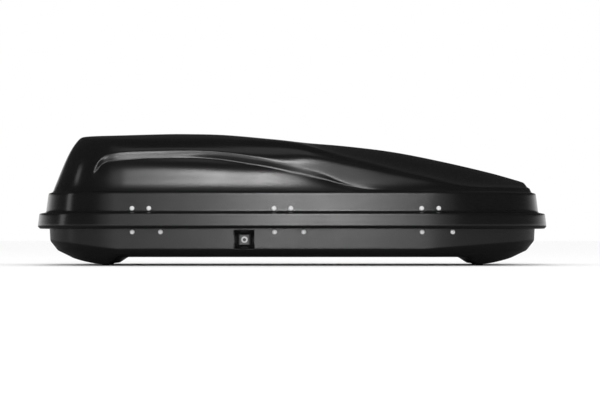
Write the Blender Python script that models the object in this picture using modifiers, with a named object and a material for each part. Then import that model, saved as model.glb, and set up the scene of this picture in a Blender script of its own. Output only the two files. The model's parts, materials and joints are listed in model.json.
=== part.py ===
"""A car roof box: two formed plastic shells, a side-opening lid, central locking and lid stays.

Metres, +Z up. +X is the pointed nose, -Y the lock side, +Y the hinge side, and the box stands on Z = 0.
"""

import math

import bmesh
import bpy
from mathutils import Matrix, Vector

# Overall sizes
LENGTH = 1.790
WIDTH = 0.780
CROWN = 0.461
WALL = 0.003
GAP = 0.0003

# Plan shape: straight sides, then a rounded nose and a squarer tail
NOSE_LENGTH = 0.445
NOSE_POWER = 2.5
NOSE_START_SHARES = (0.08, 0.16, 0.23, 0.29)
TAIL_LENGTH = 0.295
TAIL_POWER = 2.7
END_COLUMNS = 8
SIDE_COLUMNS = 12
NEAREST_SHARE = 0.02

# Lid rim, from the lip up to the foot of the body
LIP_BOTTOM = 0.127
LIP_LEAN = 0.0045
FLANGE_EDGE = 0.171
FLANGE_TOP = 0.180
FLANGE_ROUND = 0.012
BAND_FOOT = 0.183
BAND_FOOT_INSET = 0.029
BAND_TOP = 0.243
BAND_TOP_INSET = 0.0365
BAND_SHOULDER = 0.2495
BAND_SHOULDER_INSET = 0.041
LEDGE = 0.2545
LEDGE_INSET = 0.0515

# Lid body: insets of the crest line and the ends of the roof's centre line
CREST_SIDE_INSET = 0.115
CREST_NOSE_INSET = 0.059
CREST_TAIL_INSET = 0.147
SPINE_NOSE_INSET = 0.101
SPINE_TAIL_INSET = 0.195
END_LEAN_SHARE = 0.82
SIDE_LEAN_SHARE = 0.30
LEAN_FADE_POWER = 3
CREST_POWER = 6
LEDGE_FLAT = 0.002
COVE = 0.012
COVE_HEIGHT = 0.045
COVE_CREST_SHARE = 0.6
TAPER_SLOPE = 0.03
TAPER_START_INSET = 0.315
CROWN_POWER = 2.6
HOOD_START_SHARE = -0.06
HOOD_FADE_SHARE = 0.25
SWOOSH_DEPTH = 0.013
SWOOSH_NOSE_SHARE = 0.30
SWOOSH_FADE_SHARE = 0.42
SWOOSH_TAIL_SHARE = -0.755
SWOOSH_CURL_SHARE = 0.06

# Heights of the lid's lines: (share of the half length, share of the rise from ledge to crown)
ROOF_SHARES = (
    (-0.840, 0.918), (-0.792, 0.952), (-0.697, 0.971), (-0.523, 0.995), (-0.428, 1.0), (-0.269, 0.983),
    (-0.079, 0.908), (0.016, 0.866), (0.206, 0.801), (0.396, 0.700), (0.586, 0.540), (0.777, 0.346),
    (0.887, 0.211),
)
CREST_SHARES = (
    (-0.84, 0.93), (-0.76, 0.885), (-0.60, 0.86), (-0.30, 0.865), (-0.10, 0.845), (0.03, 0.79), (0.20, 0.588),
    (0.323, 0.453), (0.42, 0.346), (0.518, 0.249), (0.616, 0.145), (0.70, 0.092), (0.80, 0.085),
    (0.934, 0.075),
)
SWOOSH_UPPER_SHARES = (
    (-0.88, 0.685), (-0.70, 0.666), (-0.58, 0.685), (-0.467, 0.690), (-0.352, 0.675), (-0.257, 0.642),
    (-0.154, 0.574), (-0.047, 0.477), (0.045, 0.395), (0.105, 0.312), (0.197, 0.148), (0.30, 0.055),
    (0.60, 0.045), (0.934, 0.04),
)
SWOOSH_LOWER_SHARES = (
    (-0.88, 0.581), (-0.70, 0.505), (-0.58, 0.554), (-0.352, 0.550), (-0.260, 0.516), (-0.170, 0.458),
    (-0.078, 0.395), (0.013, 0.303), (0.075, 0.235), (0.124, 0.190), (0.197, 0.110), (0.30, 0.033),
    (0.60, 0.025), (0.934, 0.02),
)
SCOOP_POWER = 4
FLANK_ROW_SHARES = (0.18, 0.42, 0.75)
WING_ROW_SHARE = 0.6
ROOF_ROW_SHARES = (0.18, 0.42, 0.70, 1.0)

# Base shell
BASE_INSET = 0.0385
BASE_END_LEAN = 0.005
RIM_TOP = 0.1695
RIM_WIDTH = 0.005
CREASE = 0.054
CREASE_END = 0.085
BILGE = 0.037
BILGE_END = 0.051
BILGE_INSET = 0.0565
BILGE_END_INSET = 0.070
FLOOR_EDGE_INSET = 0.095
FLOOR_END_INSET = 0.115
FLOOR = 0.029
PAD = 0.0045
RAMP_END_INSET = 0.298
RAMP_LENGTH = 0.037
PAD_END_INSET = 0.240
END_RISE = 0.026
END_RISE_POWER = 1.35
FLOOR_MIDDLE_SHARE = 0.5

# Standing studs formed in the base
STUD_END_INSET = 0.241
STUD_SIDE_INSET = 0.290
STUD_RADIUS = 0.0135
STUD_TAPER = 0.002
STUD_ROOT = 0.001

# Lock recess and key lock
LOCK_X = -0.163
LOCK_Z = 0.0885
RECESS_WIDTH = 0.068
RECESS_HEIGHT = 0.065
RECESS_DEPTH = 0.020
RECESS_SLOPE = 0.014
PLATE_WIDTH = 0.029
PLATE_HEIGHT = 0.034
PLATE_THICKNESS = 0.004
PLATE_ROUND = 0.001
BARREL_RADIUS = 0.0085
BARREL_FLANGE_RADIUS = 0.011
BARREL_FLANGE = 0.002
BARREL_TAIL = 0.0065
BORE_RADIUS = 0.0057
PLUG_RADIUS = 0.0053
KEY_WIDTH = 0.0016
KEY_HEIGHT = 0.007
KEY_DEPTH = 0.006
NUT_RADIUS = 0.0125
NUT_HEIGHT = 0.004
CAM_THROW = 0.0106
CAM_HUB = 0.006
CAM_THICKNESS = 0.002
CAM_PIN_RADIUS = 0.002
CAM_PIN_LENGTH = 0.0045
TAIL_RADIUS = 0.003
KEY_TURN = 90

# Sliding lock bar and its three hooks
TAIL_LATCH_INSET = 0.399
MIDDLE_LATCH_X = -0.0105
NOSE_LATCH_INSET = 0.402
BAR_TRAVEL = 0.015
BAR_BOTTOM = 0.138
BAR_TOP = 0.150
BAR_OUTER = 0.011
BAR_THICKNESS = 0.003
BAR_END = 0.060
HOOK_POST = 0.008
HOOK_FOOT = 0.0025
HOOK_TOE = 0.005
HOOK_NOSE = 0.013
HOOK_TOP = 0.1655
HOOK_CLEARANCE = 0.003
TAB_WIDTH = 0.020
TAB_THICKNESS = 0.002
TAB_BOTTOM = 0.0925
TAB_SLOT_CLEARANCE = 0.0007
TAB_SLOT_BOTTOM = 0.0938
TAB_SLOT_TOP = 0.1024
SLIDE_CLEARANCE = 0.0004

# Sheet steel fittings
SHEET = 0.002
LATCH_WIDTH = 0.125
LATCH_BOTTOM = 0.103
GUIDE_OFFSET = 0.0575
GUIDE_LENGTH = 0.010
GUIDE_WALL = 0.003
STRIKER_WIDTH = 0.077
STRIKER_TOP = 0.208
SHELF = 0.174
TONGUE_WIDTH = 0.024
TONGUE_BOTTOM = 0.150
TONGUE_GAP = 0.0035
PEG_RADIUS = 0.0025
PEG_CLEARANCE = 0.0005
PEG_REACH = 0.0006
PEG_DROP = 0.0055

# Rivets
RIVET_HEAD = 0.008
RIVET_HEIGHT = 0.003
RIVET_CROWN = 0.0048
RIVET_SHANK = 0.0024
RIVET_HOLE = 0.0028
RIVET_BULGE = 0.0038
RIVET_TAIL = 0.003
RIVET_SIDES = 8
RIVET_SHOULDER_SHARE = 0.8
RIVET_HOLE_LENGTH = 0.024
BASE_RIVET_Z = 0.115
LID_RIVET_Z = 0.195
BASE_RIVET_OFFSETS = ((-0.048, 0.048), (-0.0495, 0.0495), (-0.052, 0.052))
LID_RIVET_OFFSETS = ((-0.048, 0.009), (-0.0515, 0.0055), (-0.054, 0.004))

# Lid hinges
TAIL_HINGE_INSET = 0.399
MIDDLE_HINGE_X = -0.010
NOSE_HINGE_INSET = 0.515
HINGE_INSET = 0.018
HINGE_Z = 0.158
LID_OPENING = 50
BASE_LEAF_WIDTH = 0.125
BASE_LEAF_BOTTOM = 0.103
BASE_LEAF_TOP = 0.1475
BASE_LEAF_BEND = 0.139
BASE_LEAF_RIVETS = 0.097
LID_LEAF_WIDTH = 0.077
LID_LEAF_RIVETS = 0.057
LID_LEAF_BEND = 0.178
PIN_RADIUS = 0.0025
PIN_BORE = 0.0028
PIN_HEAD_RADIUS = 0.004
PIN_HEAD = 0.0015
KNUCKLE_RADIUS = 0.005
LID_KNUCKLE = 0.0374
BASE_KNUCKLE = 0.022

# Where each leaf's crank meets its knuckle: (across, up) as shares of the knuckle's radius
BASE_CRANK_LOW_SHARES = (0.2, -0.7)
BASE_CRANK_HIGH_SHARES = (-0.7, 0.5)
LID_CRANK_HIGH_SHARES = (0.4, 0.6)
LID_CRANK_LOW_SHARES = (-0.8, 0)

# Lid stays: a swinging arm whose pin runs in a slotted plate on the lid
TAIL_STAY_INSET = 0.305
NOSE_STAY_INSET = 0.395
STAY_RATIO = 1.5
ARM_LENGTH = 0.130
ARM_REST = 150
ARM_WIDTH = 0.016
ARM_THICKNESS = 0.003
PIVOT_INSET = 0.090
PIVOT_Z = 0.085
STUD_PIN_RADIUS = 0.003
STUD_HEAD_RADIUS = 0.0055
STUD_HEAD = 0.002
PIN_CLEARANCE = 0.0004
SLOT_MARGIN = 0.0085
SLOT_STEPS = 10
FOOT_WIDTH = 0.030
FOOT_BOTTOM = 0.070
FOOT_TOP = 0.122
WEB_REACH = 0.012
GUIDE_FOOT_TOP = 0.226
SLIDE_GAP = 0.0006

# Floor rails and the slots for roof-bar clamps
RAIL_SIDE_INSET = 0.145
RAIL_WIDTH = 0.045
RAIL_RAMP_GAP = 0.077
CLAMP_RAMP_INSET = 0.252
CLAMP_SLOT_LENGTH = 0.110
CLAMP_SLOT_WIDTH = 0.009

HALF = LENGTH / 2
NOSE_START = HALF - NOSE_LENGTH
TAIL_START = TAIL_LENGTH - HALF
RISE = CROWN - LEDGE
BASE_HALF_WIDTH = WIDTH / 2 - BASE_INSET
BASE_INNER = BASE_HALF_WIDTH - WALL
RAMP_X = HALF - RAMP_END_INSET
PAD_END_X = HALF - PAD_END_INSET
STUD_X = HALF - STUD_END_INSET
STUD_Y = WIDTH / 2 - STUD_SIDE_INSET
RAIL_Y = WIDTH / 2 - RAIL_SIDE_INSET
RAIL_HALF_LENGTH = RAMP_X - RAIL_RAMP_GAP
CLAMP_X = RAMP_X - CLAMP_RAMP_INSET
LATCH_X = (TAIL_LATCH_INSET - HALF, MIDDLE_LATCH_X, HALF - NOSE_LATCH_INSET)
HINGE_X = (TAIL_HINGE_INSET - HALF, MIDDLE_HINGE_X, HALF - NOSE_HINGE_INSET)
HINGE_Y = WIDTH / 2 - HINGE_INSET
STAY_X = (TAIL_STAY_INSET - HALF, HALF - NOSE_STAY_INSET)
PIVOT_Y = WIDTH / 2 - PIVOT_INSET
BAND_TILT = math.atan((BAND_TOP_INSET - BAND_FOOT_INSET) / (BAND_TOP - BAND_FOOT))
LOCK_SIDE = -1
HINGE_SIDE = 1
CYLINDER_SIDES = 12

PLASTIC = ((0.022, 0.022, 0.023), 0.38, 0.0)
GREY_PLASTIC = ((0.09, 0.09, 0.092), 0.35, 0.0)
STEEL = ((0.45, 0.45, 0.46), 0.35, 1.0)
RIVET_METAL = ((0.72, 0.72, 0.73), 0.28, 1.0)
CHROME = ((0.66, 0.66, 0.67), 0.15, 1.0)
BLACK_STEEL = ((0.03, 0.03, 0.03), 0.5, 0.6)


def clear_scene():
    for obj in list(bpy.data.objects):
        bpy.data.objects.remove(obj, do_unlink=True)


def new_collection(name):
    collection = bpy.data.collections.new(name)
    bpy.context.scene.collection.children.link(collection)
    return collection


def finish_of(name, finish):
    color, roughness, metallic = finish
    material = bpy.data.materials.new(name)
    material.use_nodes = True
    shader = material.node_tree.nodes["Principled BSDF"]
    shader.inputs["Base Color"].default_value = (*color, 1.0)
    shader.inputs["Roughness"].default_value = roughness
    shader.inputs["Metallic"].default_value = metallic
    material.diffuse_color = (*color, 1.0)
    return material


def place(name, mesh, finish=None):
    """A part when it has a finish, or else a cutter or a shape to join, which is left out of the model."""
    obj = bpy.data.objects.new(name, mesh)
    if finish is None:
        CUTTERS.objects.link(obj)
        obj.hide_render = True
        obj.display_type = "WIRE"
        return obj
    PARTS.objects.link(obj)
    mesh.materials.clear()
    mesh.materials.append(finish_of(name, finish))
    return obj


def mesh_from(name, shape):
    mesh = bpy.data.meshes.new(name)
    shape.to_mesh(mesh)
    shape.free()
    return mesh


def boolean(target, tool, operation):
    modifier = target.modifiers.new(tool.name, "BOOLEAN")
    modifier.operation = operation
    modifier.object = tool
    modifier.solver = "EXACT"


def join(target, *pieces):
    for piece in pieces:
        boolean(target, piece, "UNION")


def cut(target, *cutters):
    for cutter in cutters:
        boolean(target, cutter, "DIFFERENCE")


def block(name, low, high, finish=None):
    """A box between two corners."""
    shape = bmesh.new()
    bmesh.ops.create_cube(shape, size=1)
    size = [b - a for a, b in zip(low, high)]
    bmesh.ops.scale(shape, vec=size, verts=shape.verts)
    obj = place(name, mesh_from(name, shape), finish)
    obj.location = [(a + b) / 2 for a, b in zip(low, high)]
    return obj


def turn_to(direction):
    return Vector(direction).to_track_quat("Z", "Y").to_matrix().to_4x4()


def rod(name, start, end, radius, end_radius=None, sides=CYLINDER_SIDES, finish=None):
    """A round bar or a cone from one point to another."""
    start = Vector(start)
    end = Vector(end)
    shape = bmesh.new()
    bmesh.ops.create_cone(
        shape, cap_ends=True, segments=sides, depth=(end - start).length,
        radius1=radius, radius2=radius if end_radius is None else end_radius,
    )
    obj = place(name, mesh_from(name, shape), finish)
    obj.matrix_world = Matrix.Translation((start + end) / 2) @ turn_to(end - start)
    return obj


def turned(name, profile, start, direction, sides, finish):
    """A profile of (radius, height) points, outer side top to bottom, turned about a line from start."""
    shape = bmesh.new()
    points = [shape.verts.new((radius, 0, height)) for radius, height in profile]
    for first, second in zip(points, points[1:]):
        shape.edges.new((first, second))
    obj = place(name, mesh_from(name, shape), finish)
    obj.matrix_world = Matrix.Translation(start) @ turn_to(direction)
    screw = obj.modifiers.new("Turn", "SCREW")
    screw.axis = "Z"
    screw.steps = sides
    screw.render_steps = sides
    screw.use_merge_vertices = True
    screw.merge_threshold = 0.00001
    return obj


def sheet_section(name, outlines, x_low, x_high, side, finish=None):
    """A flat outline of (distance from the middle, height) points, with any holes, drawn out along X."""
    curve = bpy.data.curves.new(name, "CURVE")
    curve.dimensions = "2D"
    curve.fill_mode = "BOTH"
    curve.extrude = (x_high - x_low) / 2
    for outline in outlines:
        spline = curve.splines.new("POLY")
        spline.points.add(len(outline) - 1)
        for point, (across, height) in zip(spline.points, outline):
            point.co = (side * across, height, 0, 1)
        spline.use_cyclic_u = True
    drawn = bpy.data.objects.new(name, curve)
    PARTS.objects.link(drawn)
    bpy.context.view_layer.update()
    graph = bpy.context.evaluated_depsgraph_get()
    mesh = bpy.data.meshes.new_from_object(drawn.evaluated_get(graph))
    bpy.data.objects.remove(drawn, do_unlink=True)
    shape = bmesh.new()
    shape.from_mesh(mesh)
    bmesh.ops.remove_doubles(shape, verts=shape.verts, dist=0.000001)
    bmesh.ops.recalc_face_normals(shape, faces=shape.faces)
    shape.to_mesh(mesh)
    shape.free()
    obj = place(name, mesh, finish)
    middle = (x_low + x_high) / 2
    obj.matrix_world = Matrix(((0, 0, 1, middle), (1, 0, 0, 0), (0, 1, 0, 0), (0, 0, 0, 1)))
    return obj


def axis_at(name, location):
    """An empty on a joint's axis, which the moving pieces are parented to."""
    empty = bpy.data.objects.new(name, None)
    PARTS.objects.link(empty)
    empty.location = location
    return empty


def hang_on(axis, *pieces):
    for piece in pieces:
        piece.parent = axis
        piece.matrix_parent_inverse = Matrix.Translation(-axis.location)


def through(points, x):
    """The height at x of a smooth curve through the points, level past its ends."""
    if x <= points[0][0]:
        return points[0][1]
    if x >= points[-1][0]:
        return points[-1][1]
    last = len(points) - 1
    k = max(i for i in range(last) if points[i][0] <= x)

    def slope(i):
        before = points[max(i - 1, 0)]
        after = points[min(i + 1, last)]
        return (after[1] - before[1]) / (after[0] - before[0])

    span = points[k + 1][0] - points[k][0]
    t = (x - points[k][0]) / span
    rise = points[k + 1][1] - points[k][1]
    bend = (1 - t) * slope(k) * span - t * slope(k + 1) * span - (1 - 2 * t) * rise
    return points[k][1] + t * rise + t * (1 - t) * bend


def ease(t):
    t = min(max(t, 0), 1)
    return t * t * (3 - 2 * t)


def mix(a, b, t):
    return a + (b - a) * t


def end_columns(zone, power, wanted=()):
    """Columns round a quarter of the plan's end, from side to tip, with the wanted shares along it."""
    angles = [math.pi / 2 * k / END_COLUMNS for k in range(1, END_COLUMNS)]
    curved = [math.sin(a) ** (2 / power) for a in angles]
    clear = [a for a in curved if all(abs(a - b) > NEAREST_SHARE for b in wanted)]
    along = sorted({*wanted, *clear})
    return [(zone, a, (1 - a**power) ** (1 / power)) for a in along] + [(zone, 1, 0)]


def plan_columns(stations=(), reach=HALF):
    """The columns of a shell's half, from the nose round to the tail, with the stations among them."""
    past_nose = [(x - NOSE_START) / (reach - NOSE_START) for x in stations if x > NOSE_START]
    past_tail = [(x - TAIL_START) / (-reach - TAIL_START) for x in stations if x < TAIL_START]
    starts = [a for a in NOSE_START_SHARES if all(abs(a - b) > NEAREST_SHARE for b in past_nose)]
    nose = end_columns("nose", NOSE_POWER, (*starts, *past_nose))
    tail = end_columns("tail", TAIL_POWER, past_tail)
    wanted = [x for x in stations if TAIL_START < x < NOSE_START]
    even = [mix(NOSE_START, TAIL_START, k / SIDE_COLUMNS) for k in range(SIDE_COLUMNS + 1)]
    near = NEAREST_SHARE * (NOSE_START - TAIL_START)
    clear = [x for x in even if all(abs(x - y) > near for y in wanted)]
    side = sorted({*wanted, *clear, NOSE_START, TAIL_START}, reverse=True)
    return nose[::-1] + [("side", x, 1) for x in side] + tail


def plan_point(column, nose_end, tail_end, half_width):
    zone, along, across = column
    if zone == "nose":
        return mix(NOSE_START, nose_end, along), half_width * across
    if zone == "tail":
        return mix(TAIL_START, tail_end, along), half_width * across
    return along, half_width


def inset_point(column, end_inset, side_inset=None):
    side_inset = end_inset if side_inset is None else side_inset
    return plan_point(column, HALF - end_inset, end_inset - HALF, WIDTH / 2 - side_inset)


def half_width_at(inset, x):
    """The half width, at x, of an outline set in by the same distance all round."""
    if x > NOSE_START:
        share = (x - NOSE_START) / (NOSE_LENGTH - inset)
        return (WIDTH / 2 - inset) * (1 - share**NOSE_POWER) ** (1 / NOSE_POWER)
    if x < TAIL_START:
        share = (TAIL_START - x) / (TAIL_LENGTH - inset)
        return (WIDTH / 2 - inset) * (1 - share**TAIL_POWER) ** (1 / TAIL_POWER)
    return WIDTH / 2 - inset


def line_height(line, x):
    return LEDGE + RISE * through(line, x / HALF)


def swoosh_depth(x):
    """How far the flank is pressed in under the swoosh: full in the middle, none at the nose and the tail."""
    toward_nose = ease((SWOOSH_NOSE_SHARE - x / HALF) / SWOOSH_FADE_SHARE)
    toward_tail = ease((x / HALF - SWOOSH_TAIL_SHARE) / SWOOSH_CURL_SHARE)
    return SWOOSH_DEPTH * toward_nose * toward_tail


def taper(x):
    """How far the lid's body has drawn in at x, as it narrows evenly from the tail to the nose."""
    return TAPER_SLOPE * max(x + HALF - TAPER_START_INSET, 0)


def shelf_point(column):
    """The inner edge of the ledge's flat top, which widens as the body above it draws in."""
    x, y = inset_point(column, LEDGE_INSET)
    return x, y - (LEDGE_FLAT + taper(x)) * column[2], LEDGE


def crest_point(column):
    x, y = plan_point(
        column, HALF - CREST_NOSE_INSET, CREST_TAIL_INSET - HALF, WIDTH / 2 - CREST_SIDE_INSET
    )
    return x, y - taper(x) * column[2], line_height(CREST_SHARES, x)


def flank_point(column, height, pressed):
    """A point of the flank, which sweeps up from the ledge to the crest and is pressed in by the swoosh."""
    foot_x, foot_y, _ = shelf_point(column)
    crest_x, crest_y, crest_z = crest_point(column)
    t = (height - LEDGE) / (crest_z - LEDGE)
    lean = mix(END_LEAN_SHARE, SIDE_LEAN_SHARE, column[2] ** LEAN_FADE_POWER)
    share = lean * t + (1 - lean) * t**CREST_POWER
    x = mix(foot_x, crest_x, share)
    sweep = COVE * column[2]
    swept = min((height - LEDGE) / min(COVE_HEIGHT, COVE_CREST_SHARE * (crest_z - LEDGE)), 1)
    y = mix(foot_y - sweep, crest_y, share) + sweep * (1 - swept) ** 2
    return x, y - pressed * swoosh_depth(x), height


def roof_point(column, share):
    """A point of the roof, at a share of the way from the crest to the centre line."""
    crest_x, crest_y, crest_z = crest_point(column)
    spine_x, _ = plan_point(column, HALF - SPINE_NOSE_INSET, SPINE_TAIL_INSET - HALF, 0)
    x = mix(crest_x, spine_x, share)
    crowned = 1 - (1 - share) ** CROWN_POWER
    hooded = ease(share)
    rise = mix(crowned, hooded, ease((crest_x / HALF - HOOD_START_SHARE) / HOOD_FADE_SHARE))
    return x, crest_y * (1 - share), mix(crest_z, line_height(ROOF_SHARES, spine_x), rise)


def lid_rim_row(columns, inset, height):
    return [(*inset_point(column, inset), height) for column in columns]


def lid_rows(columns):
    """The lid's outer surface as rows of points, from the lip up to the centre line."""
    rows = [
        lid_rim_row(columns, 0, LIP_BOTTOM),
        lid_rim_row(columns, LIP_LEAN, FLANGE_EDGE),
        lid_rim_row(columns, FLANGE_ROUND, FLANGE_TOP),
        lid_rim_row(columns, BAND_FOOT_INSET, BAND_FOOT),
        lid_rim_row(columns, BAND_TOP_INSET, BAND_TOP),
        lid_rim_row(columns, BAND_SHOULDER_INSET, BAND_SHOULDER),
        lid_rim_row(columns, LEDGE_INSET, LEDGE),
        [shelf_point(column) for column in columns],
    ]
    lower = [line_height(SWOOSH_LOWER_SHARES, crest_point(column)[0]) for column in columns]
    upper = [line_height(SWOOSH_UPPER_SHARES, crest_point(column)[0]) for column in columns]
    for share in FLANK_ROW_SHARES:
        heights = [mix(LEDGE, z, share) for z in lower]
        rows.append([flank_point(c, z, share**SCOOP_POWER) for c, z in zip(columns, heights)])
    rows.append([flank_point(c, z, 1) for c, z in zip(columns, lower)])
    rows.append([flank_point(c, z, 0) for c, z in zip(columns, upper)])
    wing = [mix(z, crest_point(c)[2], WING_ROW_SHARE) for c, z in zip(columns, upper)]
    rows.append([flank_point(c, z, 0) for c, z in zip(columns, wing)])
    rows.append([crest_point(column) for column in columns])
    for share in ROOF_ROW_SHARES:
        rows.append([roof_point(column, share) for column in columns])
    return rows


def floor_height(x):
    """The underside's height: a raised middle, a low pad towards each end, then a rise to the end."""
    distance = abs(x)
    if distance < RAMP_X + RAMP_LENGTH:
        return mix(FLOOR, PAD, min(max((distance - RAMP_X) / RAMP_LENGTH, 0), 1))
    past = max(distance - PAD_END_X, 0)
    reach = HALF - FLOOR_END_INSET - PAD_END_X
    return PAD + END_RISE * (past / reach) ** END_RISE_POWER


def end_share(column):
    return column[1] if column[0] != "side" else 0


def base_rows(columns):
    """The base's outer surface as rows of points, from the floor's centre line out and up to the rim."""
    edge = [inset_point(column, FLOOR_END_INSET, FLOOR_EDGE_INSET) for column in columns]
    rows = [[(x, y * share, floor_height(x)) for x, y in edge] for share in (0, FLOOR_MIDDLE_SHARE, 1)]
    bilge = []
    crease = []
    for column in columns:
        share = end_share(column)
        bilge_height = mix(BILGE, BILGE_END, share)
        bilge.append((*inset_point(column, BILGE_END_INSET, BILGE_INSET), bilge_height))
        crease_height = mix(CREASE, CREASE_END, share)
        crease.append((*inset_point(column, BASE_INSET + BASE_END_LEAN, BASE_INSET), crease_height))
    rows += [bilge, crease]
    for inset in (BASE_INSET, BASE_INSET - RIM_WIDTH):
        rows.append([(*inset_point(column, inset), RIM_TOP - WALL) for column in columns])
    return rows


def formed_shell(name, rows, finish):
    """A sheet through rows of points on the lock side, mirrored to the hinge side and thickened inwards."""
    shape = bmesh.new()
    grid = [[shape.verts.new((x, -y, z)) for x, y, z in row] for row in rows]
    for low, high in zip(grid, grid[1:]):
        for i in range(len(low) - 1):
            shape.faces.new((low[i], high[i], high[i + 1], low[i + 1]))
    bmesh.ops.remove_doubles(shape, verts=shape.verts, dist=0.00001)
    obj = place(name, mesh_from(name, shape), finish)
    mirror = obj.modifiers.new("Mirror", "MIRROR")
    mirror.use_axis = (False, True, False)
    mirror.merge_threshold = 0.0001
    thicken = obj.modifiers.new("Thicken", "SOLIDIFY")
    thicken.thickness = WALL
    thicken.offset = -1
    thicken.use_even_offset = True
    return obj


def base_columns():
    """Columns that put the floor's ramps and pads on the edges between faces."""
    stations = (RAMP_X, RAMP_X + RAMP_LENGTH, PAD_END_X)
    return plan_columns((*stations, *(-x for x in stations)), HALF - FLOOR_END_INSET)


def rivet_spots():
    """Each rivet's name, side, x, height, extra sheet under its head, and whether it holds the lid."""
    spots = []
    for number, latch in enumerate(LATCH_X):
        for end, offset in zip("ab", BASE_RIVET_OFFSETS[number]):
            name = f"latch_rivet_{number + 1}{end}"
            spots.append((name, LOCK_SIDE, latch + offset, BASE_RIVET_Z, 0, False))
        for end, offset in zip("ab", LID_RIVET_OFFSETS[number]):
            name = f"striker_rivet_{number + 1}{end}"
            spots.append((name, LOCK_SIDE, latch + offset, LID_RIVET_Z, 0, True))
    for number, middle in enumerate(HINGE_X, 1):
        for end, way in (("a", -1), ("b", 1)):
            name = f"hinge_base_rivet_{number}{end}"
            x = middle + way * BASE_LEAF_RIVETS / 2
            spots.append((name, HINGE_SIDE, x, BASE_RIVET_Z, SHEET + GAP, False))
            name = f"hinge_lid_rivet_{number}{end}"
            x = middle + way * LID_LEAF_RIVETS / 2
            spots.append((name, HINGE_SIDE, x, LID_RIVET_Z, 0, True))
    return spots


def band_inset(height):
    return mix(BAND_FOOT_INSET, BAND_TOP_INSET, (height - BAND_FOOT) / (BAND_TOP - BAND_FOOT))


def wall_frame(side, x, height, on_lid):
    """The point of the outer surface at x and this height, and the way that it faces."""
    inset = band_inset(height) if on_lid else BASE_INSET
    step = 0.001
    turn = (half_width_at(inset, x + step) - half_width_at(inset, x - step)) / (2 * step)
    facing = Vector((-turn, side, math.tan(BAND_TILT) if on_lid else 0)).normalized()
    return Vector((x, side * half_width_at(inset, x), height)), facing


def rivet(name, side, x, height, under_head, on_lid):
    point, facing = wall_frame(side, x, height, on_lid)
    grip = WALL + GAP + (SHEET if under_head == 0 else 0) + stand_off(side, x, on_lid) + GAP
    head = under_head + GAP
    profile = (
        (0, head + RIVET_HEIGHT),
        (RIVET_CROWN, head + RIVET_HEIGHT * RIVET_SHOULDER_SHARE),
        (RIVET_HEAD, head),
        (RIVET_SHANK, head),
        (RIVET_SHANK, -grip),
        (RIVET_BULGE, -grip),
        (RIVET_BULGE, -grip - RIVET_TAIL),
        (0, -grip - RIVET_TAIL),
    )
    return turned(name, profile, point, facing, RIVET_SIDES, RIVET_METAL)


def rivet_holes(name, on_lid):
    shape = bmesh.new()
    for _, side, x, height, _, lid in rivet_spots():
        if lid != on_lid:
            continue
        point, facing = wall_frame(side, x, height, on_lid)
        bmesh.ops.create_cone(
            shape, cap_ends=True, segments=RIVET_SIDES, depth=RIVET_HOLE_LENGTH,
            radius1=RIVET_HOLE, radius2=RIVET_HOLE,
            matrix=Matrix.Translation(point) @ turn_to(facing),
        )
    return place(name, mesh_from(name, shape))


def chord(inset, x_low, x_high):
    """A straight plate's inner-wall line: its half widths at both ends, and its turn about Z."""
    low = half_width_at(inset, x_low) - WALL - GAP
    high = half_width_at(inset, x_high) - WALL - GAP
    return low, high, math.atan2(low - high, x_high - x_low)


def stand_off(side, x, on_lid):
    """How far a straight plate stands off a bowed wall at x, on the lock side."""
    if side == HINGE_SIDE:
        return 0
    width = STRIKER_WIDTH if on_lid else LATCH_WIDTH
    inset = band_inset(LID_RIVET_Z) if on_lid else BASE_INSET
    middle = striker_x(nearest_latch(x)) if on_lid else LATCH_X[nearest_latch(x)]
    low, high, _ = chord(inset, middle - width / 2, middle + width / 2)
    plate = mix(low, high, (x - middle) / width + 0.5)
    return half_width_at(inset, x) - WALL - GAP - plate


def nearest_latch(x):
    return min(range(len(LATCH_X)), key=lambda i: abs(LATCH_X[i] - x))


def striker_x(number):
    return LATCH_X[number] + sum(LID_RIVET_OFFSETS[number]) / 2


def recess_tool(name, grow, outer, inner):
    """A pyramid-sided block from a depth outside the wall to the recess's floor, grown by a wall."""
    slope = RECESS_SLOPE / RECESS_DEPTH
    shape = bmesh.new()
    rings = []
    for depth in (outer, inner):
        wide = RECESS_WIDTH / 2 - slope * depth + grow
        tall = RECESS_HEIGHT / 2 - slope * depth + grow
        y = -BASE_HALF_WIDTH + depth
        corners = ((-wide, -tall), (wide, -tall), (wide, tall), (-wide, tall))
        middle = recess_middle()
        rings.append([shape.verts.new((LOCK_X + x, y, middle + z)) for x, z in corners])
    for i in range(4):
        j = (i + 1) % 4
        shape.faces.new((rings[0][i], rings[0][j], rings[1][j], rings[1][i]))
    shape.faces.new(reversed(rings[0]))
    shape.faces.new(rings[1])
    bmesh.ops.recalc_face_normals(shape, faces=shape.faces)
    return place(name, mesh_from(name, shape))


def recess_middle():
    return CREASE + WALL + GAP + RECESS_HEIGHT / 2


def lock_line(name, start, end, radius, finish=None, sides=CYLINDER_SIDES):
    """A round shape on the key's axis, between two depths from the base wall's outer face."""
    first = (LOCK_X, start - BASE_HALF_WIDTH, LOCK_Z)
    last = (LOCK_X, end - BASE_HALF_WIDTH, LOCK_Z)
    return rod(name, first, last, radius, sides=sides, finish=finish)


def base_shell():
    shell = formed_shell("base_shell", base_rows(base_columns()), PLASTIC)
    join(shell, recess_tool("recess_boss", WALL, WALL / 2, RECESS_DEPTH + WALL))
    for x in (-STUD_X, STUD_X):
        for y in (-STUD_Y, STUD_Y):
            top = floor_height(x) + STUD_ROOT
            join(shell, rod("stud", (x, y, 0), (x, y, top), STUD_RADIUS - STUD_TAPER, STUD_RADIUS))
    cut(shell, recess_tool("recess_pocket", 0, -2 * WALL, RECESS_DEPTH))
    cut(shell, lock_line("barrel_hole", RECESS_DEPTH - WALL, RECESS_DEPTH + 3 * WALL, BARREL_RADIUS + GAP))
    cut(shell, BASE_HOLES)
    cut(shell, CLAMP_SLOTS)
    return shell


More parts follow.
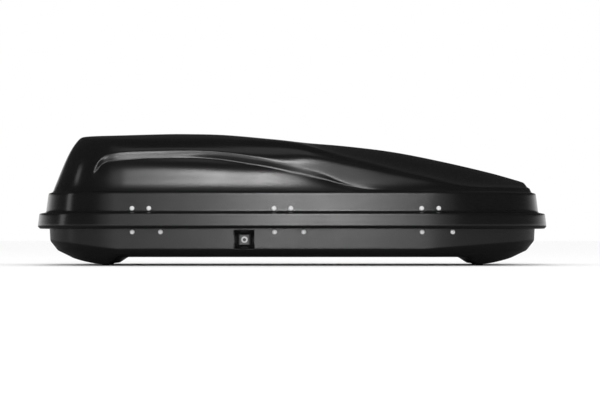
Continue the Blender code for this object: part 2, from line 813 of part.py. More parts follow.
def lid_shell():
    shell = formed_shell("lid_shell", lid_rows(plan_columns()), PLASTIC)
    cut(shell, LID_HOLES)
    return shell


def clamp_slots():
    shape = bmesh.new()
    for x in (-CLAMP_X, CLAMP_X):
        for y in (-RAIL_Y, RAIL_Y):
            size = Matrix.Diagonal((CLAMP_SLOT_LENGTH, CLAMP_SLOT_WIDTH, 6 * WALL, 1))
            bmesh.ops.create_cube(shape, size=1, matrix=Matrix.Translation((x, y, FLOOR + WALL)) @ size)
    return place("clamp_slots", mesh_from("clamp_slots", shape))


def floor_rails():
    bottom = FLOOR + WALL + GAP
    for name, side in (("floor_rail_lock_side", LOCK_SIDE), ("floor_rail_hinge_side", HINGE_SIDE)):
        y = side * RAIL_Y
        low = (-RAIL_HALF_LENGTH, y - RAIL_WIDTH / 2, bottom)
        high = (RAIL_HALF_LENGTH, y + RAIL_WIDTH / 2, bottom + SHEET)
        rail = block(name, low, high, STEEL)
        cut(rail, CLAMP_SLOTS)


def lock_plate():
    back = -BASE_HALF_WIDTH + RECESS_DEPTH - GAP
    low = (LOCK_X - PLATE_WIDTH / 2, back - PLATE_THICKNESS, LOCK_Z - PLATE_HEIGHT / 2)
    high = (LOCK_X + PLATE_WIDTH / 2, back, LOCK_Z + PLATE_HEIGHT / 2)
    plate = block("lock_plate", low, high, GREY_PLASTIC)
    bevel = plate.modifiers.new("Round", "BEVEL")
    bevel.width = PLATE_ROUND
    bevel.segments = 1
    cut(plate, lock_line("plate_hole", 0, RECESS_DEPTH + WALL, BARREL_RADIUS + GAP))
    return plate


def lock_front():
    """The depth at which the barrel's flange starts."""
    return RECESS_DEPTH - GAP - PLATE_THICKNESS - GAP - BARREL_FLANGE


def barrel_end():
    return RECESS_DEPTH + WALL + BARREL_TAIL


def key_lock():
    """The fixed barrel and its nut, then the turning plug with its cam."""
    front = lock_front()
    barrel = lock_line("lock_barrel", front, front + BARREL_FLANGE, BARREL_FLANGE_RADIUS, CHROME)
    join(barrel, lock_line("barrel_sleeve", front + BARREL_FLANGE / 2, barrel_end(), BARREL_RADIUS))
    cut(barrel, lock_line("barrel_bore", front - WALL, barrel_end() + WALL, BORE_RADIUS))
    seat = RECESS_DEPTH + WALL + GAP
    nut = lock_line("lock_nut", seat, seat + NUT_HEIGHT, NUT_RADIUS, STEEL, sides=6)
    cut(nut, lock_line("nut_bore", seat - WALL, seat + NUT_HEIGHT + WALL, BARREL_RADIUS + GAP))
    plug = lock_line("lock_plug", front + GAP, barrel_end() + GAP, PLUG_RADIUS, CHROME)
    cam_face = barrel_end() + 2 * GAP
    tail_end = cam_face + CAM_THICKNESS + GAP
    join(plug, lock_line("plug_tail", barrel_end() - WALL, tail_end, TAIL_RADIUS))
    y = -BASE_HALF_WIDTH + front
    half = (KEY_WIDTH / 2, KEY_DEPTH, KEY_HEIGHT / 2)
    low = (LOCK_X - half[0], y - WALL, LOCK_Z - half[2])
    high = (LOCK_X + half[0], y + half[1], LOCK_Z + half[2])
    cut(plug, block("key_slot", low, high))
    cam = lock_cam(cam_face)
    hang_on(axis_at("key_axis", (LOCK_X, -BASE_HALF_WIDTH + front, LOCK_Z)), plug, cam)


def lock_cam(face):
    """A hub on the plug's tail, and an arm with a pin that starts half the key's turn short of upright."""
    cam = lock_line("lock_cam", face, face + CAM_THICKNESS, CAM_HUB, BLACK_STEEL)
    angle = math.radians(KEY_TURN / 2)
    x = LOCK_X - CAM_THROW * math.sin(angle)
    z = LOCK_Z + CAM_THROW * math.cos(angle)
    y = -BASE_HALF_WIDTH + face
    radius = CAM_PIN_RADIUS
    half = Vector((2 * radius, CAM_THICKNESS / 2 - GAP / 4, CAM_THROW / 2 + 2 * radius))
    middle = Vector(((x + LOCK_X) / 2, y + CAM_THICKNESS / 2, (z + LOCK_Z) / 2))
    arm = block("cam_arm", middle - half, middle + half)
    arm.rotation_euler.y = -angle
    join(cam, arm)
    pin_end = (x, y + CAM_THICKNESS + CAM_PIN_LENGTH, z)
    join(cam, rod("cam_pin", (x, y + CAM_THICKNESS / 2, z), pin_end, radius))
    cut(cam, lock_line("cam_bore", face - WALL, face + 2 * WALL, TAIL_RADIUS + GAP))
    return cam


def bar_planes():
    """The outer and inner y of the lock bar, on the lock side."""
    outer = -BASE_HALF_WIDTH + BAR_OUTER
    return outer, outer + BAR_THICKNESS


def tab_planes():
    face = barrel_end() + 2 * GAP + CAM_THICKNESS + 2 * GAP + GAP
    return -BASE_HALF_WIDTH + face, -BASE_HALF_WIDTH + face + TAB_THICKNESS


def lock_bar():
    """A flat bar, with a hook on its top edge at each latch and a bent tab that the cam's pin moves."""
    outer, inner = bar_planes()
    low = (LATCH_X[0] - BAR_END, outer, BAR_BOTTOM)
    high = (LATCH_X[-1] + BAR_END, inner, BAR_TOP)
    moving = [block("lock_bar", low, high, STEEL), bar_tab()]
    moving += [lock_hook(number) for number in range(len(LATCH_X))]
    hang_on(axis_at("bar_slide", (LOCK_X, outer, BAR_BOTTOM)), *moving)


def lock_hook(number):
    """A C-shaped plate in line with the bar: a foot on its edge, a post and a nose over the peg's way."""
    outer, inner = bar_planes()
    tip = LATCH_X[number] - PEG_RADIUS - HOOK_CLEARANCE
    post = tip - HOOK_NOSE
    back = post - HOOK_POST
    foot = BAR_TOP + GAP
    hook = block(f"lock_hook_{number + 1}", (back, outer, foot), (post, inner, HOOK_TOP), STEEL)
    bite = HOOK_POST / 4
    low = (post - bite, outer, peg_height() + PEG_RADIUS + PEG_CLEARANCE)
    join(hook, block("hook_nose", low, (tip, inner, HOOK_TOP)))
    join(hook, block("hook_foot", (post - bite, outer, foot), (tip + HOOK_TOE, inner, foot + HOOK_FOOT)))
    return hook


def bar_tab():
    """An angle on the bar's inner face, with a tab down to the key lock and a slot for the cam's pin."""
    _, inner = bar_planes()
    near, far = tab_planes()
    face = inner + GAP
    middle = LOCK_X - BAR_TRAVEL / 2
    left = middle - TAB_WIDTH / 2
    right = middle + TAB_WIDTH / 2
    bite = TAB_THICKNESS / 2
    tab = block("bar_tab", (left, face, BAR_BOTTOM), (right, face + TAB_THICKNESS, BAR_TOP), STEEL)
    shelf = (right, far, BAR_BOTTOM + TAB_THICKNESS)
    join(tab, block("tab_shelf", (left, face + bite, BAR_BOTTOM), shelf))
    join(tab, block("tab_drop", (left, near, TAB_BOTTOM), (right, far, BAR_BOTTOM + bite)))
    slot = CAM_PIN_RADIUS + TAB_SLOT_CLEARANCE
    low = (middle - slot, near - bite, TAB_SLOT_BOTTOM)
    cut(tab, block("tab_slot", low, (middle + slot, far + bite, TAB_SLOT_TOP)))
    return tab


def peg_height():
    return HOOK_TOP - PEG_DROP - PEG_RADIUS


def latch_bracket(number):
    """A plate riveted inside the base wall, with two closed guides for the bar."""
    middle = LATCH_X[number]
    x_low = middle - LATCH_WIDTH / 2
    x_high = middle + LATCH_WIDTH / 2
    low, high, turn = chord(BASE_INSET, x_low, x_high)
    outer, inner = bar_planes()
    top = BAR_TOP + SLIDE_CLEARANCE + GUIDE_WALL
    length = math.hypot(x_high - x_low, low - high)
    name = f"latch_bracket_{number + 1}"
    plate = block(name, (-length / 2, 0, LATCH_BOTTOM), (length / 2, SHEET, top), BLACK_STEEL)
    centre = Matrix.Rotation(turn, 4, "Z") @ Vector((0, SHEET / 2, 0))
    plate.location = Vector((middle, -(low + high) / 2, (LATCH_BOTTOM + top) / 2)) + centre
    plate.rotation_euler.z = turn
    for way in (-1, 1):
        x = middle + way * (GUIDE_OFFSET - GUIDE_LENGTH / 2)
        wall = -mix(low, high, (x - x_low) / LATCH_WIDTH)
        start = (x - GUIDE_LENGTH / 2, wall + SHEET / 2, BAR_BOTTOM - SLIDE_CLEARANCE - GUIDE_WALL)
        end = (x + GUIDE_LENGTH / 2, inner + SLIDE_CLEARANCE + GUIDE_WALL, top - GAP)
        join(plate, block("bar_guide", start, end))
    clear = SLIDE_CLEARANCE
    start = (x_low - LATCH_WIDTH, outer - clear, BAR_BOTTOM - clear)
    end = (x_high + LATCH_WIDTH, inner + clear, BAR_TOP + clear)
    cut(plate, block("bar_way", start, end), BASE_HOLES)
    return plate


def on_band(height, depth):
    """How far out the band's straight side lies at a height, at a depth under its surface."""
    return WIDTH / 2 - band_inset(height) - depth / math.cos(BAND_TILT)


def striker(number):
    """A plate riveted inside the lid band, bent over the base's rim, with a tongue and a peg for the hook."""
    middle = striker_x(number)
    inset = band_inset(LID_RIVET_Z)
    low, high, turn = chord(inset, middle - STRIKER_WIDTH / 2, middle + STRIKER_WIDTH / 2)
    offset = WIDTH / 2 - inset - WALL - GAP - (low + high) / 2
    outer, inner = bar_planes()
    tongue = -inner - TONGUE_GAP
    near = WALL + GAP
    far = near + SHEET
    section = (
        (on_band(STRIKER_TOP, near), STRIKER_TOP),
        (on_band(SHELF, near), SHELF),
        (tongue, SHELF),
        (tongue, SHELF + SHEET),
        (on_band(SHELF + SHEET, far), SHELF + SHEET),
        (on_band(STRIKER_TOP, far), STRIKER_TOP),
    )
    half = STRIKER_WIDTH / 2
    outline = [(across - offset, height) for across, height in section]
    plate = sheet_section(f"striker_{number + 1}", [outline], -half, half, LOCK_SIDE, BLACK_STEEL)
    pivot = Vector((middle, -(WIDTH / 2 - inset), 0))
    spin = Matrix.Translation(pivot) @ Matrix.Rotation(turn, 4, "Z") @ Matrix.Translation(-pivot)
    plate.matrix_world = spin @ Matrix.Translation((middle, 0, 0)) @ plate.matrix_world
    x = LATCH_X[number]
    low = (x - TONGUE_WIDTH / 2, -tongue - SHEET / 4, TONGUE_BOTTOM)
    high = (x + TONGUE_WIDTH / 2, -tongue + SHEET * 3 / 4, SHELF + SHEET * 3 / 4)
    join(plate, block("tongue", low, high))
    z = peg_height()
    join(plate, rod("peg", (x, -tongue, z), (x, outer - PEG_REACH, z), PEG_RADIUS))
    cut(plate, LID_HOLES)
    return plate


def on_knuckle(shares):
    """A point by the knuckle, at shares of its radius across and up from the hinge's axis."""
    across, up = shares
    return HINGE_Y + KNUCKLE_RADIUS * across, HINGE_Z + KNUCKLE_RADIUS * up


def hinge_base_leaf(number):
    """A plate on the outside of the base wall, cranked out to two knuckles."""
    middle = HINGE_X[number]
    face = BASE_HALF_WIDTH + GAP
    back = face + SHEET
    half = BASE_LEAF_WIDTH / 2
    plate = block(
        f"hinge_base_leaf_{number + 1}",
        (middle - half, face, BASE_LEAF_BOTTOM), (middle + half, back, BASE_LEAF_TOP), BLACK_STEEL,
    )
    crank = (
        (face + SHEET / 4, BASE_LEAF_BEND),
        (back - SHEET / 4, BASE_LEAF_BEND - SHEET / 4),
        on_knuckle(BASE_CRANK_LOW_SHARES),
        on_knuckle(BASE_CRANK_HIGH_SHARES),
        (face + SHEET / 4, BASE_LEAF_TOP - SHEET / 4),
    )
    for way in (-1, 1):
        near = middle + way * (LID_KNUCKLE / 2 + GAP)
        far = near + way * BASE_KNUCKLE
        low, high = sorted((near, far))
        join(plate, sheet_section("crank", [crank], low + GAP, high - GAP, HINGE_SIDE))
        join(plate, rod("knuckle", (low, HINGE_Y, HINGE_Z), (high, HINGE_Y, HINGE_Z), KNUCKLE_RADIUS))
    cut(plate, pin_bore(middle), BASE_HOLES)
    return plate


def pin_bore(middle):
    half = BASE_LEAF_WIDTH / 2
    return rod("pin_bore", (middle - half, HINGE_Y, HINGE_Z), (middle + half, HINGE_Y, HINGE_Z), PIN_BORE)


def hinge_lid_leaf(number):
    """A plate riveted inside the lid band, with a crank down to the middle knuckle."""
    middle = HINGE_X[number]
    near = WALL + GAP
    far = near + SHEET
    foot = LID_LEAF_BEND + 3 * SHEET
    corners = ((STRIKER_TOP, near), (foot, near), (foot, far), (STRIKER_TOP, far))
    outline = [(on_band(height, depth), height) for height, depth in corners]
    half = LID_LEAF_WIDTH / 2
    name = f"hinge_lid_leaf_{number + 1}"
    plate = sheet_section(name, [outline], middle - half, middle + half, HINGE_SIDE, BLACK_STEEL)
    inner = near + SHEET / 4
    outer = far - SHEET / 4
    crank = (
        (on_band(LID_RIVET_Z - SHEET, inner), LID_RIVET_Z - SHEET),
        (on_band(LID_LEAF_BEND, inner), LID_LEAF_BEND),
        on_knuckle(LID_CRANK_HIGH_SHARES),
        on_knuckle(LID_CRANK_LOW_SHARES),
        (on_band(LID_LEAF_BEND, outer), LID_LEAF_BEND - SHEET / 2),
        (on_band(LID_RIVET_Z - SHEET, outer), LID_RIVET_Z - SHEET),
    )
    low = middle - LID_KNUCKLE / 2
    high = middle + LID_KNUCKLE / 2
    join(plate, sheet_section("crank", [crank], low + GAP, high - GAP, HINGE_SIDE))
    join(plate, rod("knuckle", (low, HINGE_Y, HINGE_Z), (high, HINGE_Y, HINGE_Z), KNUCKLE_RADIUS))
    cut(plate, pin_bore(middle), LID_HOLES)
    return plate


def hinge_pin(number):
    reach = LID_KNUCKLE / 2 + GAP + BASE_KNUCKLE + GAP
    end = reach + PIN_HEAD
    profile = (
        (0, end), (PIN_HEAD_RADIUS, end), (PIN_HEAD_RADIUS, reach), (PIN_RADIUS, reach),
        (PIN_RADIUS, -reach), (PIN_HEAD_RADIUS, -reach), (PIN_HEAD_RADIUS, -end), (0, -end),
    )
    start = (HINGE_X[number], HINGE_Y, HINGE_Z)
    return turned(f"hinge_pin_{number + 1}", profile, start, (1, 0, 0), CYLINDER_SIDES, STEEL)


def arm_tip(opening):
    """The stay pin's place, across and up, with the lid open by an angle in degrees."""
    angle = math.radians(ARM_REST - STAY_RATIO * opening)
    return PIVOT_Y + ARM_LENGTH * math.cos(angle), PIVOT_Z + ARM_LENGTH * math.sin(angle)


def slot_path():
    """The stay pin's path as the lid sees it, which is the slot's middle line."""
    path = []
    for step in range(SLOT_STEPS + 1):
        opening = LID_OPENING * step / SLOT_STEPS
        across, height = arm_tip(opening)
        angle = math.radians(opening)
        y = across - HINGE_Y
        z = height - HINGE_Z
        path.append((
            HINGE_Y + y * math.cos(angle) - z * math.sin(angle),
            HINGE_Z + y * math.sin(angle) + z * math.cos(angle),
        ))
    return path


def beside(path, distance):
    """The points of a path moved sideways."""
    moved = []
    for i, (y, z) in enumerate(path):
        before = Vector(path[max(i - 1, 0)])
        after = Vector(path[min(i + 1, len(path) - 1)])
        along = (after - before).normalized()
        moved.append((y - along.y * distance, z + along.x * distance))
    return moved


def round_end(path, at_start, radius, steps=6):
    """The half circle that closes a band round a path, at its start or its end."""
    first, second = (path[1], path[0]) if at_start else (path[-2], path[-1])
    along = (Vector(second) - Vector(first)).normalized()
    side = Vector((-along.y, along.x))
    points = []
    for step in range(1, steps):
        angle = math.pi * step / steps
        point = Vector(second) + radius * (side * math.cos(angle) + along * math.sin(angle))
        points.append((point.x, point.y))
    return points


def band_round(path, radius):
    return (
        beside(path, radius) + round_end(path, False, radius)
        + beside(path, -radius)[::-1] + round_end(path, True, radius)
    )


def stay_planes(x):
    """The low x of the bracket's web, the arm and the lid's guide."""
    arm = x + ARM_THICKNESS + SLIDE_GAP
    return x, arm, arm + ARM_THICKNESS + SLIDE_GAP


def stay_bracket(number):
    """A foot on the base wall's inside, a web out from it, and the stud that the arm turns on."""
    web, arm, guide = stay_planes(STAY_X[number])
    ends = (web + ARM_THICKNESS - FOOT_WIDTH, guide)
    outer = min(half_width_at(BASE_INSET, x) for x in ends) - WALL - 2 * GAP
    name = f"stay_bracket_{number + 1}"
    low = (ends[0], outer - SHEET, FOOT_BOTTOM)
    bracket = block(name, low, (web + ARM_THICKNESS, outer, FOOT_TOP), BLACK_STEEL)
    outline = (
        (outer - SHEET / 2, FOOT_BOTTOM + GAP),
        (outer - SHEET / 2, FOOT_TOP - GAP),
        (PIVOT_Y - WEB_REACH, PIVOT_Z + WEB_REACH),
        (PIVOT_Y - WEB_REACH, PIVOT_Z - WEB_REACH),
    )
    join(bracket, sheet_section("web", [outline], web, web + ARM_THICKNESS - GAP, HINGE_SIDE))
    start = (web + ARM_THICKNESS / 2, PIVOT_Y, PIVOT_Z)
    end = arm + ARM_THICKNESS + GAP
    join(bracket, rod("pivot_stud", start, (end + STUD_HEAD / 2, PIVOT_Y, PIVOT_Z), STUD_PIN_RADIUS))
    head = ((end, PIVOT_Y, PIVOT_Z), (end + STUD_HEAD, PIVOT_Y, PIVOT_Z))
    join(bracket, rod("stud_head", *head, STUD_HEAD_RADIUS))
    return bracket


def stay_arm(number):
    """The swinging arm, with an eye for the stud and a pin for the guide's slot."""
    _, arm, guide = stay_planes(STAY_X[number])
    tip = arm_tip(0)
    name = f"stay_arm_{number + 1}"
    outline = band_round([(PIVOT_Y, PIVOT_Z), tip], ARM_WIDTH / 2)
    piece = sheet_section(name, [outline], arm, arm + ARM_THICKNESS, HINGE_SIDE, STEEL)
    eye = STUD_PIN_RADIUS + PIN_CLEARANCE
    ends = ((arm - SHEET, PIVOT_Y, PIVOT_Z), (arm + 2 * ARM_THICKNESS, PIVOT_Y, PIVOT_Z))
    cut(piece, rod("arm_eye", *ends, eye))
    start = (arm + ARM_THICKNESS / 2, *tip)
    join(piece, rod("arm_pin", start, (guide + ARM_THICKNESS + SHEET, *tip), STUD_PIN_RADIUS))
    hang_on(axis_at(f"stay_axis_{number + 1}", (arm, PIVOT_Y, PIVOT_Z)), piece)
    return piece


def stay_guide(number):
    """The lid's slotted plate: the slot is the pin's path, and a foot is bonded inside the lid band."""
    _, _, guide = stay_planes(STAY_X[number])
    path = slot_path()
    slot = band_round(path, STUD_PIN_RADIUS + PIN_CLEARANCE)
    edge = STUD_PIN_RADIUS + PIN_CLEARANCE + SLOT_MARGIN
    far = WALL + GAP + drop_at_nose(guide + FOOT_WIDTH) + SHEET * 0.75
    lift = RIM_TOP + WALL + SHEET
    upper = beside(path, edge)
    lower = beside(path, -edge)
    outline = [
        *round_end(path, True, edge),
        *upper,
        (on_band(GUIDE_FOOT_TOP - SHEET, far), GUIDE_FOOT_TOP - SHEET),
        (on_band(lift + 4 * SHEET, far), lift + 4 * SHEET),
        (BASE_INNER - 2 * WALL, lift),
        *lower[:0:-1],
        lower[0],
    ]
    piece = sheet_section(
        f"stay_guide_{number + 1}", [outline, slot], guide, guide + ARM_THICKNESS, HINGE_SIDE, BLACK_STEEL
    )
    near = WALL + GAP + drop_at_nose(guide + FOOT_WIDTH)
    bottom = lift + 4 * SHEET - GAP
    foot = [(on_band(z, d), z) for z, d in (
        (GUIDE_FOOT_TOP, near), (bottom, near), (bottom, near + SHEET), (GUIDE_FOOT_TOP, near + SHEET)
    )]
    join(piece, sheet_section("guide_foot", [foot], guide + GAP, guide + FOOT_WIDTH, HINGE_SIDE))
    return piece


def drop_at_nose(x):
    """How far the band has drawn in from its straight side at x."""
    inset = band_inset(LID_RIVET_Z)
    return WIDTH / 2 - inset - half_width_at(inset, x)


def build():
    base_shell()
    lid = lid_shell()
    lock_plate()
    key_lock()
    lock_bar()
    floor_rails()
    moving = [lid]
    for number in range(len(LATCH_X)):
        latch_bracket(number)
        moving.append(striker(number))
    for number in range(len(HINGE_X)):
        hinge_base_leaf(number)
        hinge_pin(number)
        moving.append(hinge_lid_leaf(number))
    for number in range(len(STAY_X)):
        stay_bracket(number)
        stay_arm(number)
        moving.append(stay_guide(number))
    for spot in rivet_spots():
        piece = rivet(*spot)
        if spot[-1]:
            moving.append(piece)
    hang_on(axis_at("lid_axis", (0, HINGE_Y, HINGE_Z)), *moving)


clear_scene()
PARTS = new_collection("roof_box")
CUTTERS = new_collection("cutters")
BASE_HOLES = rivet_holes("base_rivet_holes", False)
LID_HOLES = rivet_holes("lid_rivet_holes", True)
CLAMP_SLOTS = clamp_slots()
build()
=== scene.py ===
"""The looks of a car roof box: satin black formed shells, bright rivets, a key lock and steel fittings.

Metres, +Z up. +X is the pointed nose, -Y the lock side and +Y the hinge side.
"""
import json
import math

import bmesh
import bpy
import numpy as np
from mathutils import Matrix, Vector


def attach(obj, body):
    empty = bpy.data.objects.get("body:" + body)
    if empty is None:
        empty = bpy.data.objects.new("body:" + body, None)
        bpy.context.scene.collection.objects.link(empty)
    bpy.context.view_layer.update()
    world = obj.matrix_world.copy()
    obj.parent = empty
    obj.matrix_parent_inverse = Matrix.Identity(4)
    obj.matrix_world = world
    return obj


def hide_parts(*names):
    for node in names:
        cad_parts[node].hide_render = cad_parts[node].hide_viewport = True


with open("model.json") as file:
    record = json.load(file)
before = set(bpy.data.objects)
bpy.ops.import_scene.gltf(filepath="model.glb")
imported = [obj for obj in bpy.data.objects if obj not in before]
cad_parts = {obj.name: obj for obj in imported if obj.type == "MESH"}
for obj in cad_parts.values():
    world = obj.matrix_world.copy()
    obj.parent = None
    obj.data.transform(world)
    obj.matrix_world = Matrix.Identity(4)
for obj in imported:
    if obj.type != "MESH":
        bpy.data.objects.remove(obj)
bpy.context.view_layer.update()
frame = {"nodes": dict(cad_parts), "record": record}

# Overall sizes
LENGTH = 1.790
WIDTH = 0.780
CROWN = 0.46079
WALL = 0.003
GAP = 0.0003
HALF = LENGTH / 2

# Plan shape
NOSE_LENGTH = 0.445
NOSE_POWER = 2.5
TAIL_LENGTH = 0.295
TAIL_POWER = 2.7
NOSE_START = HALF - NOSE_LENGTH
TAIL_START = TAIL_LENGTH - HALF

# Lid rim: (inset, height) of each corner, from the lip up to the foot of the body
RIM_CORNERS = (
    (0.008, 0.127), (0.0, 0.134), (0.0053, 0.1788), (0.0285, 0.1835), (0.0373, 0.2495), (0.0505, 0.2535),
)
RIM_STEPS = (5, 9, 9, 14, 9)
LEDGE = 0.2545
LEDGE_INSET = 0.0515

# Lid body
CREST_SIDE_INSET = 0.125
CREST_WIDENING = 0.030
WIDENING_START_SHARE = -0.30
WIDENING_REACH_SHARE = 0.80
CREST_NOSE_INSET = 0.059
CREST_TAIL_INSET = 0.147
SPINE_NOSE_INSET = 0.080
SPINE_TAIL_INSET = 0.195
SIDE_LEAN_SHARE = 0.30
END_LEAN_SHARE = 0.82
LEAN_FADE_POWER = 3
CREST_POWER = 5
HOOD_CREST_POWER = 11
SHELF = 0.002
COVE = 0.006
COVE_HEIGHT = 0.045
COVE_CREST_SHARE = 0.6
TAPER_SLOPE = 0.03
TAPER_START_INSET = 0.315
CROWN_POWER = 2.6
HOOD_START_SHARE = -0.06
HOOD_FADE_SHARE = 0.25
SWOOSH_DEPTH = 0.014
SWOOSH_NOSE_SHARE = 0.38
SWOOSH_FADE_SHARE = 0.25
SHALLOW_START_SHARE = 0.06
SHALLOW_REACH_SHARE = 0.42
SHALLOW_DEPTH_SHARE = 0.3
SWOOSH_TAIL_DEPTH_SHARE = 0.6
SWOOSH_GROWTH_SHARE = 0.7
SWOOSH_TAIL_SHARE = -0.765
SWOOSH_CURL_SHARE = 0.035
SCOOP_POWER = 3
RISE = CROWN - LEDGE

# Heights of the lid's lines: (share of the half length, share of the rise from ledge to crown)
ROOF_SHARES = (
    (-0.840, 0.918), (-0.792, 0.952), (-0.697, 0.971), (-0.523, 0.995), (-0.428, 1.0), (-0.269, 0.983),
    (-0.079, 0.908), (0.016, 0.866), (0.206, 0.801), (0.396, 0.700), (0.586, 0.540), (0.777, 0.346),
    (0.887, 0.211), (0.911, 0.177),
)
CREST_SHARES = (
    (-0.84, 0.93), (-0.76, 0.885), (-0.60, 0.86), (-0.30, 0.865), (-0.10, 0.845), (0.03, 0.79),
    (0.20, 0.588), (0.323, 0.453), (0.42, 0.346), (0.518, 0.249), (0.616, 0.145), (0.70, 0.092),
    (0.80, 0.085), (0.934, 0.075),
)
SWOOSH_UPPER_SHARES = (
    (-0.762, 0.10), (-0.744, 0.186), (-0.7285, 0.40), (-0.7187, 0.475), (-0.702, 0.580), (-0.679, 0.619),
    (-0.643, 0.650), (-0.577, 0.672), (-0.467, 0.690), (-0.352, 0.675), (-0.257, 0.642),
    (-0.154, 0.574), (-0.047, 0.477), (0.045, 0.395), (0.105, 0.312), (0.197, 0.148), (0.30, 0.055),
    (0.60, 0.045), (0.934, 0.04),
)
SWOOSH_LOWER_SHARES = (
    (-0.762, 0.08), (-0.737, 0.155), (-0.7228, 0.320), (-0.7096, 0.420), (-0.6944, 0.480), (-0.679, 0.498),
    (-0.643, 0.518), (-0.577, 0.540), (-0.467, 0.552), (-0.352, 0.550), (-0.260, 0.516), (-0.170, 0.458),
    (-0.078, 0.395), (0.013, 0.303), (0.075, 0.235), (0.124, 0.190), (0.197, 0.110), (0.30, 0.033),
    (0.60, 0.025), (0.934, 0.02),
)
FLANK_STEPS = 16
FLANK_CROWDING = 0.5
STEP_STEPS = 7
WING_STEPS = 14
WING_CROWDING = 0.6
ROOF_STEPS = 24
ROOF_CROWDING_POWER = 1.6
USUAL_CROWDING = 0.75
RIM_SOFTNESS = 0.0028
EDGE_SOFTNESS = 0.0024
UPPER_EDGE_SOFTNESS = 0.0048
CROWN_SOFTNESS = 0.014
HOOD_SOFTNESS = 0.0015
LID_COLUMNS = 196
FORK_ENDS_X = (-0.70, -0.60)
FORK_CROWDING = 4

# Finest measures of the surfaces
TURN_COUNT = 6001
WELD_DISTANCE = 0.00001
SMALLEST_EDGE = 0.000001
LEAST_SOFTNESS = 1e-6
TINY = 1e-9

# Base shell
BASE_INSET = 0.0385
BASE_END_LEAN = 0.005
RIM_TOP = 0.1695
RIM_WIDTH = 0.005
CREASE = 0.054
CREASE_END = 0.085
BILGE = 0.037
BILGE_END = 0.051
BILGE_INSET = 0.0565
BILGE_END_INSET = 0.070
FLOOR_EDGE_INSET = 0.095
FLOOR_END_INSET = 0.115
FLOOR = 0.029
PAD = 0.0045
RAMP_X = 0.597
RAMP_LENGTH = 0.037
PAD_END_X = 0.655
END_RISE = 0.026
END_RISE_POWER = 1.35
STUD_X = 0.654
STUD_Y = 0.10
STUD_RADIUS = 0.0135
STUD_TAPER = 0.002
STUD_SEAT = 0.002
STUD_FOOT = ((0.8, 0.0), (0.95, 0.0002), (1.0, 0.001))
CLAMP_X = 0.345
RAIL_Y = 0.245
CLAMP_SLOT_LENGTH = 0.110
CLAMP_SLOT_WIDTH = 0.009
BASE_COLUMNS = 170
FLOOR_ROWS = 9
BASE_SLOPE_STEPS = 8
BASE_SOFTNESS = 0.0026
LEAST_TURN = 0.0004
WALL_ZONE_Y = 0.34
BASE_HALF_WIDTH = WIDTH / 2 - BASE_INSET
FLOOR_HALF_WIDTH = WIDTH / 2 - FLOOR_EDGE_INSET

# Lock
LOCK_X = -0.163
LOCK_Z = 0.0885
RECESS_WIDTH = 0.068
RECESS_HEIGHT = 0.065
RECESS_DEPTH = 0.020
RECESS_SLOPE = 0.014
RECESS_SPACING = 0.0022
RECESS_CROWDING = 5
RECESS_ROUNDING_SHARE = 0.06
RECESS_EDGE_OFFSETS = (0.0006, 0, -RECESS_SLOPE)
RECESS_MIDDLE = CREASE + WALL + GAP + RECESS_HEIGHT / 2
PLATE_THICKNESS = 0.004
BARREL_RADIUS = 0.0085
BARREL_FLANGE_RADIUS = 0.011
BARREL_FLANGE = 0.002
BARREL_TAIL = 0.0065
RING_ROUND = 0.0009
RING_ROUND_DEPTH = 0.0007
RING_NIP = 0.0002
RING_NIP_IN = 0.0003
BORE_RADIUS = 0.0057
PLUG_RADIUS = 0.0053
KEY_WIDTH = 0.0016
KEY_HEIGHT = 0.007
KEY_DEPTH = 0.006
KEY_POWER = 8
PLUG_TAIL_RADIUS = 0.003
PLUG_TAIL = 0.002
LOCK_SIDES = 48

# Rivets
RIVET_HEAD = 0.008
RIVET_HEIGHT = 0.003
RIVET_DIMPLE = 0.0028
RIVET_DIMPLE_DEPTH = 0.0026
DOME_ANGLES = (4, 14, 26, 40, 54, 64, 70)
RIVET_SHANK = 0.0024
RIVET_BULGE = 0.0038
RIVET_TAIL = 0.003
TAIL_TIP_SHARE = 0.5
TAIL_ROUND_SHARE = 0.7
HEAD_FOOT_SHARE = 0.97
DIMPLE_RIM_SHARE = 0.945
DIMPLE_WALL_SHARE = 0.92
DIMPLE_FLOOR_SHARE = 0.7
RIVET_SIDES = 32
TURN_STEP = 0.001
BASE_RIVET_Z = 0.115
LID_RIVET_Z = 0.195
BAND_FOOT = (0.029, 0.183)
BAND_TOP = (0.0365, 0.243)
BAND_SLOPE = (BAND_TOP[0] - BAND_FOOT[0]) / (BAND_TOP[1] - BAND_FOOT[1])
SHEET = 0.002
LATCH_X = (-0.496, -0.0105, 0.493)
BASE_RIVET_OFFSETS = ((-0.048, 0.048), (-0.0495, 0.0495), (-0.052, 0.052))
LID_RIVET_OFFSETS = ((-0.048, 0.009), (-0.0515, 0.0055), (-0.054, 0.004))
HINGE_X = (-0.496, -0.010, 0.380)
BASE_LEAF_RIVETS = 0.097
LID_LEAF_RIVETS = 0.057

# Fittings and finishes
BROKEN_EDGE = 0.0003
BROKEN_EDGE_ANGLE = 50
NOISE_DETAIL = 2
DRIFT_SPAN = (0.3, 0.7)

# Light: the world's strength, the sines between which its bright horizon fades, and the sky above it
AMBIENT = 1.0
HORIZON_BAND = (0.04, 0.16)
DARK_SKY = 0.03
FLOOR_IN_GLOSS = (0.12, 0.12, 0.12)

# Each softbox: name, width, height, place, power
SOFTBOXES = (
    ("low_softbox", 0.35, 1.7, (0.09, -8.5, 0.75), 45.0),
    ("key_softbox", 0.35, 2.2, (0.09, -8.3, 2.75), 50.0),
    ("upper_softbox", 0.35, 1.4, (0.09, -8.0, 4.2), 62.0),
    ("top_softbox", 2.0, 3.0, (0.0, -3.0, 6.5), 12.0),
    ("wide_softbox", 6.0, 4.0, (0.0, -9.5, 1.9), 24.0),
    ("tail_softbox", 1.6, 3.2, (-8.5, -1.8, 1.9), 28.0),
)
SOFTBOX_AIM = (0.0, 0.0, 0.25)

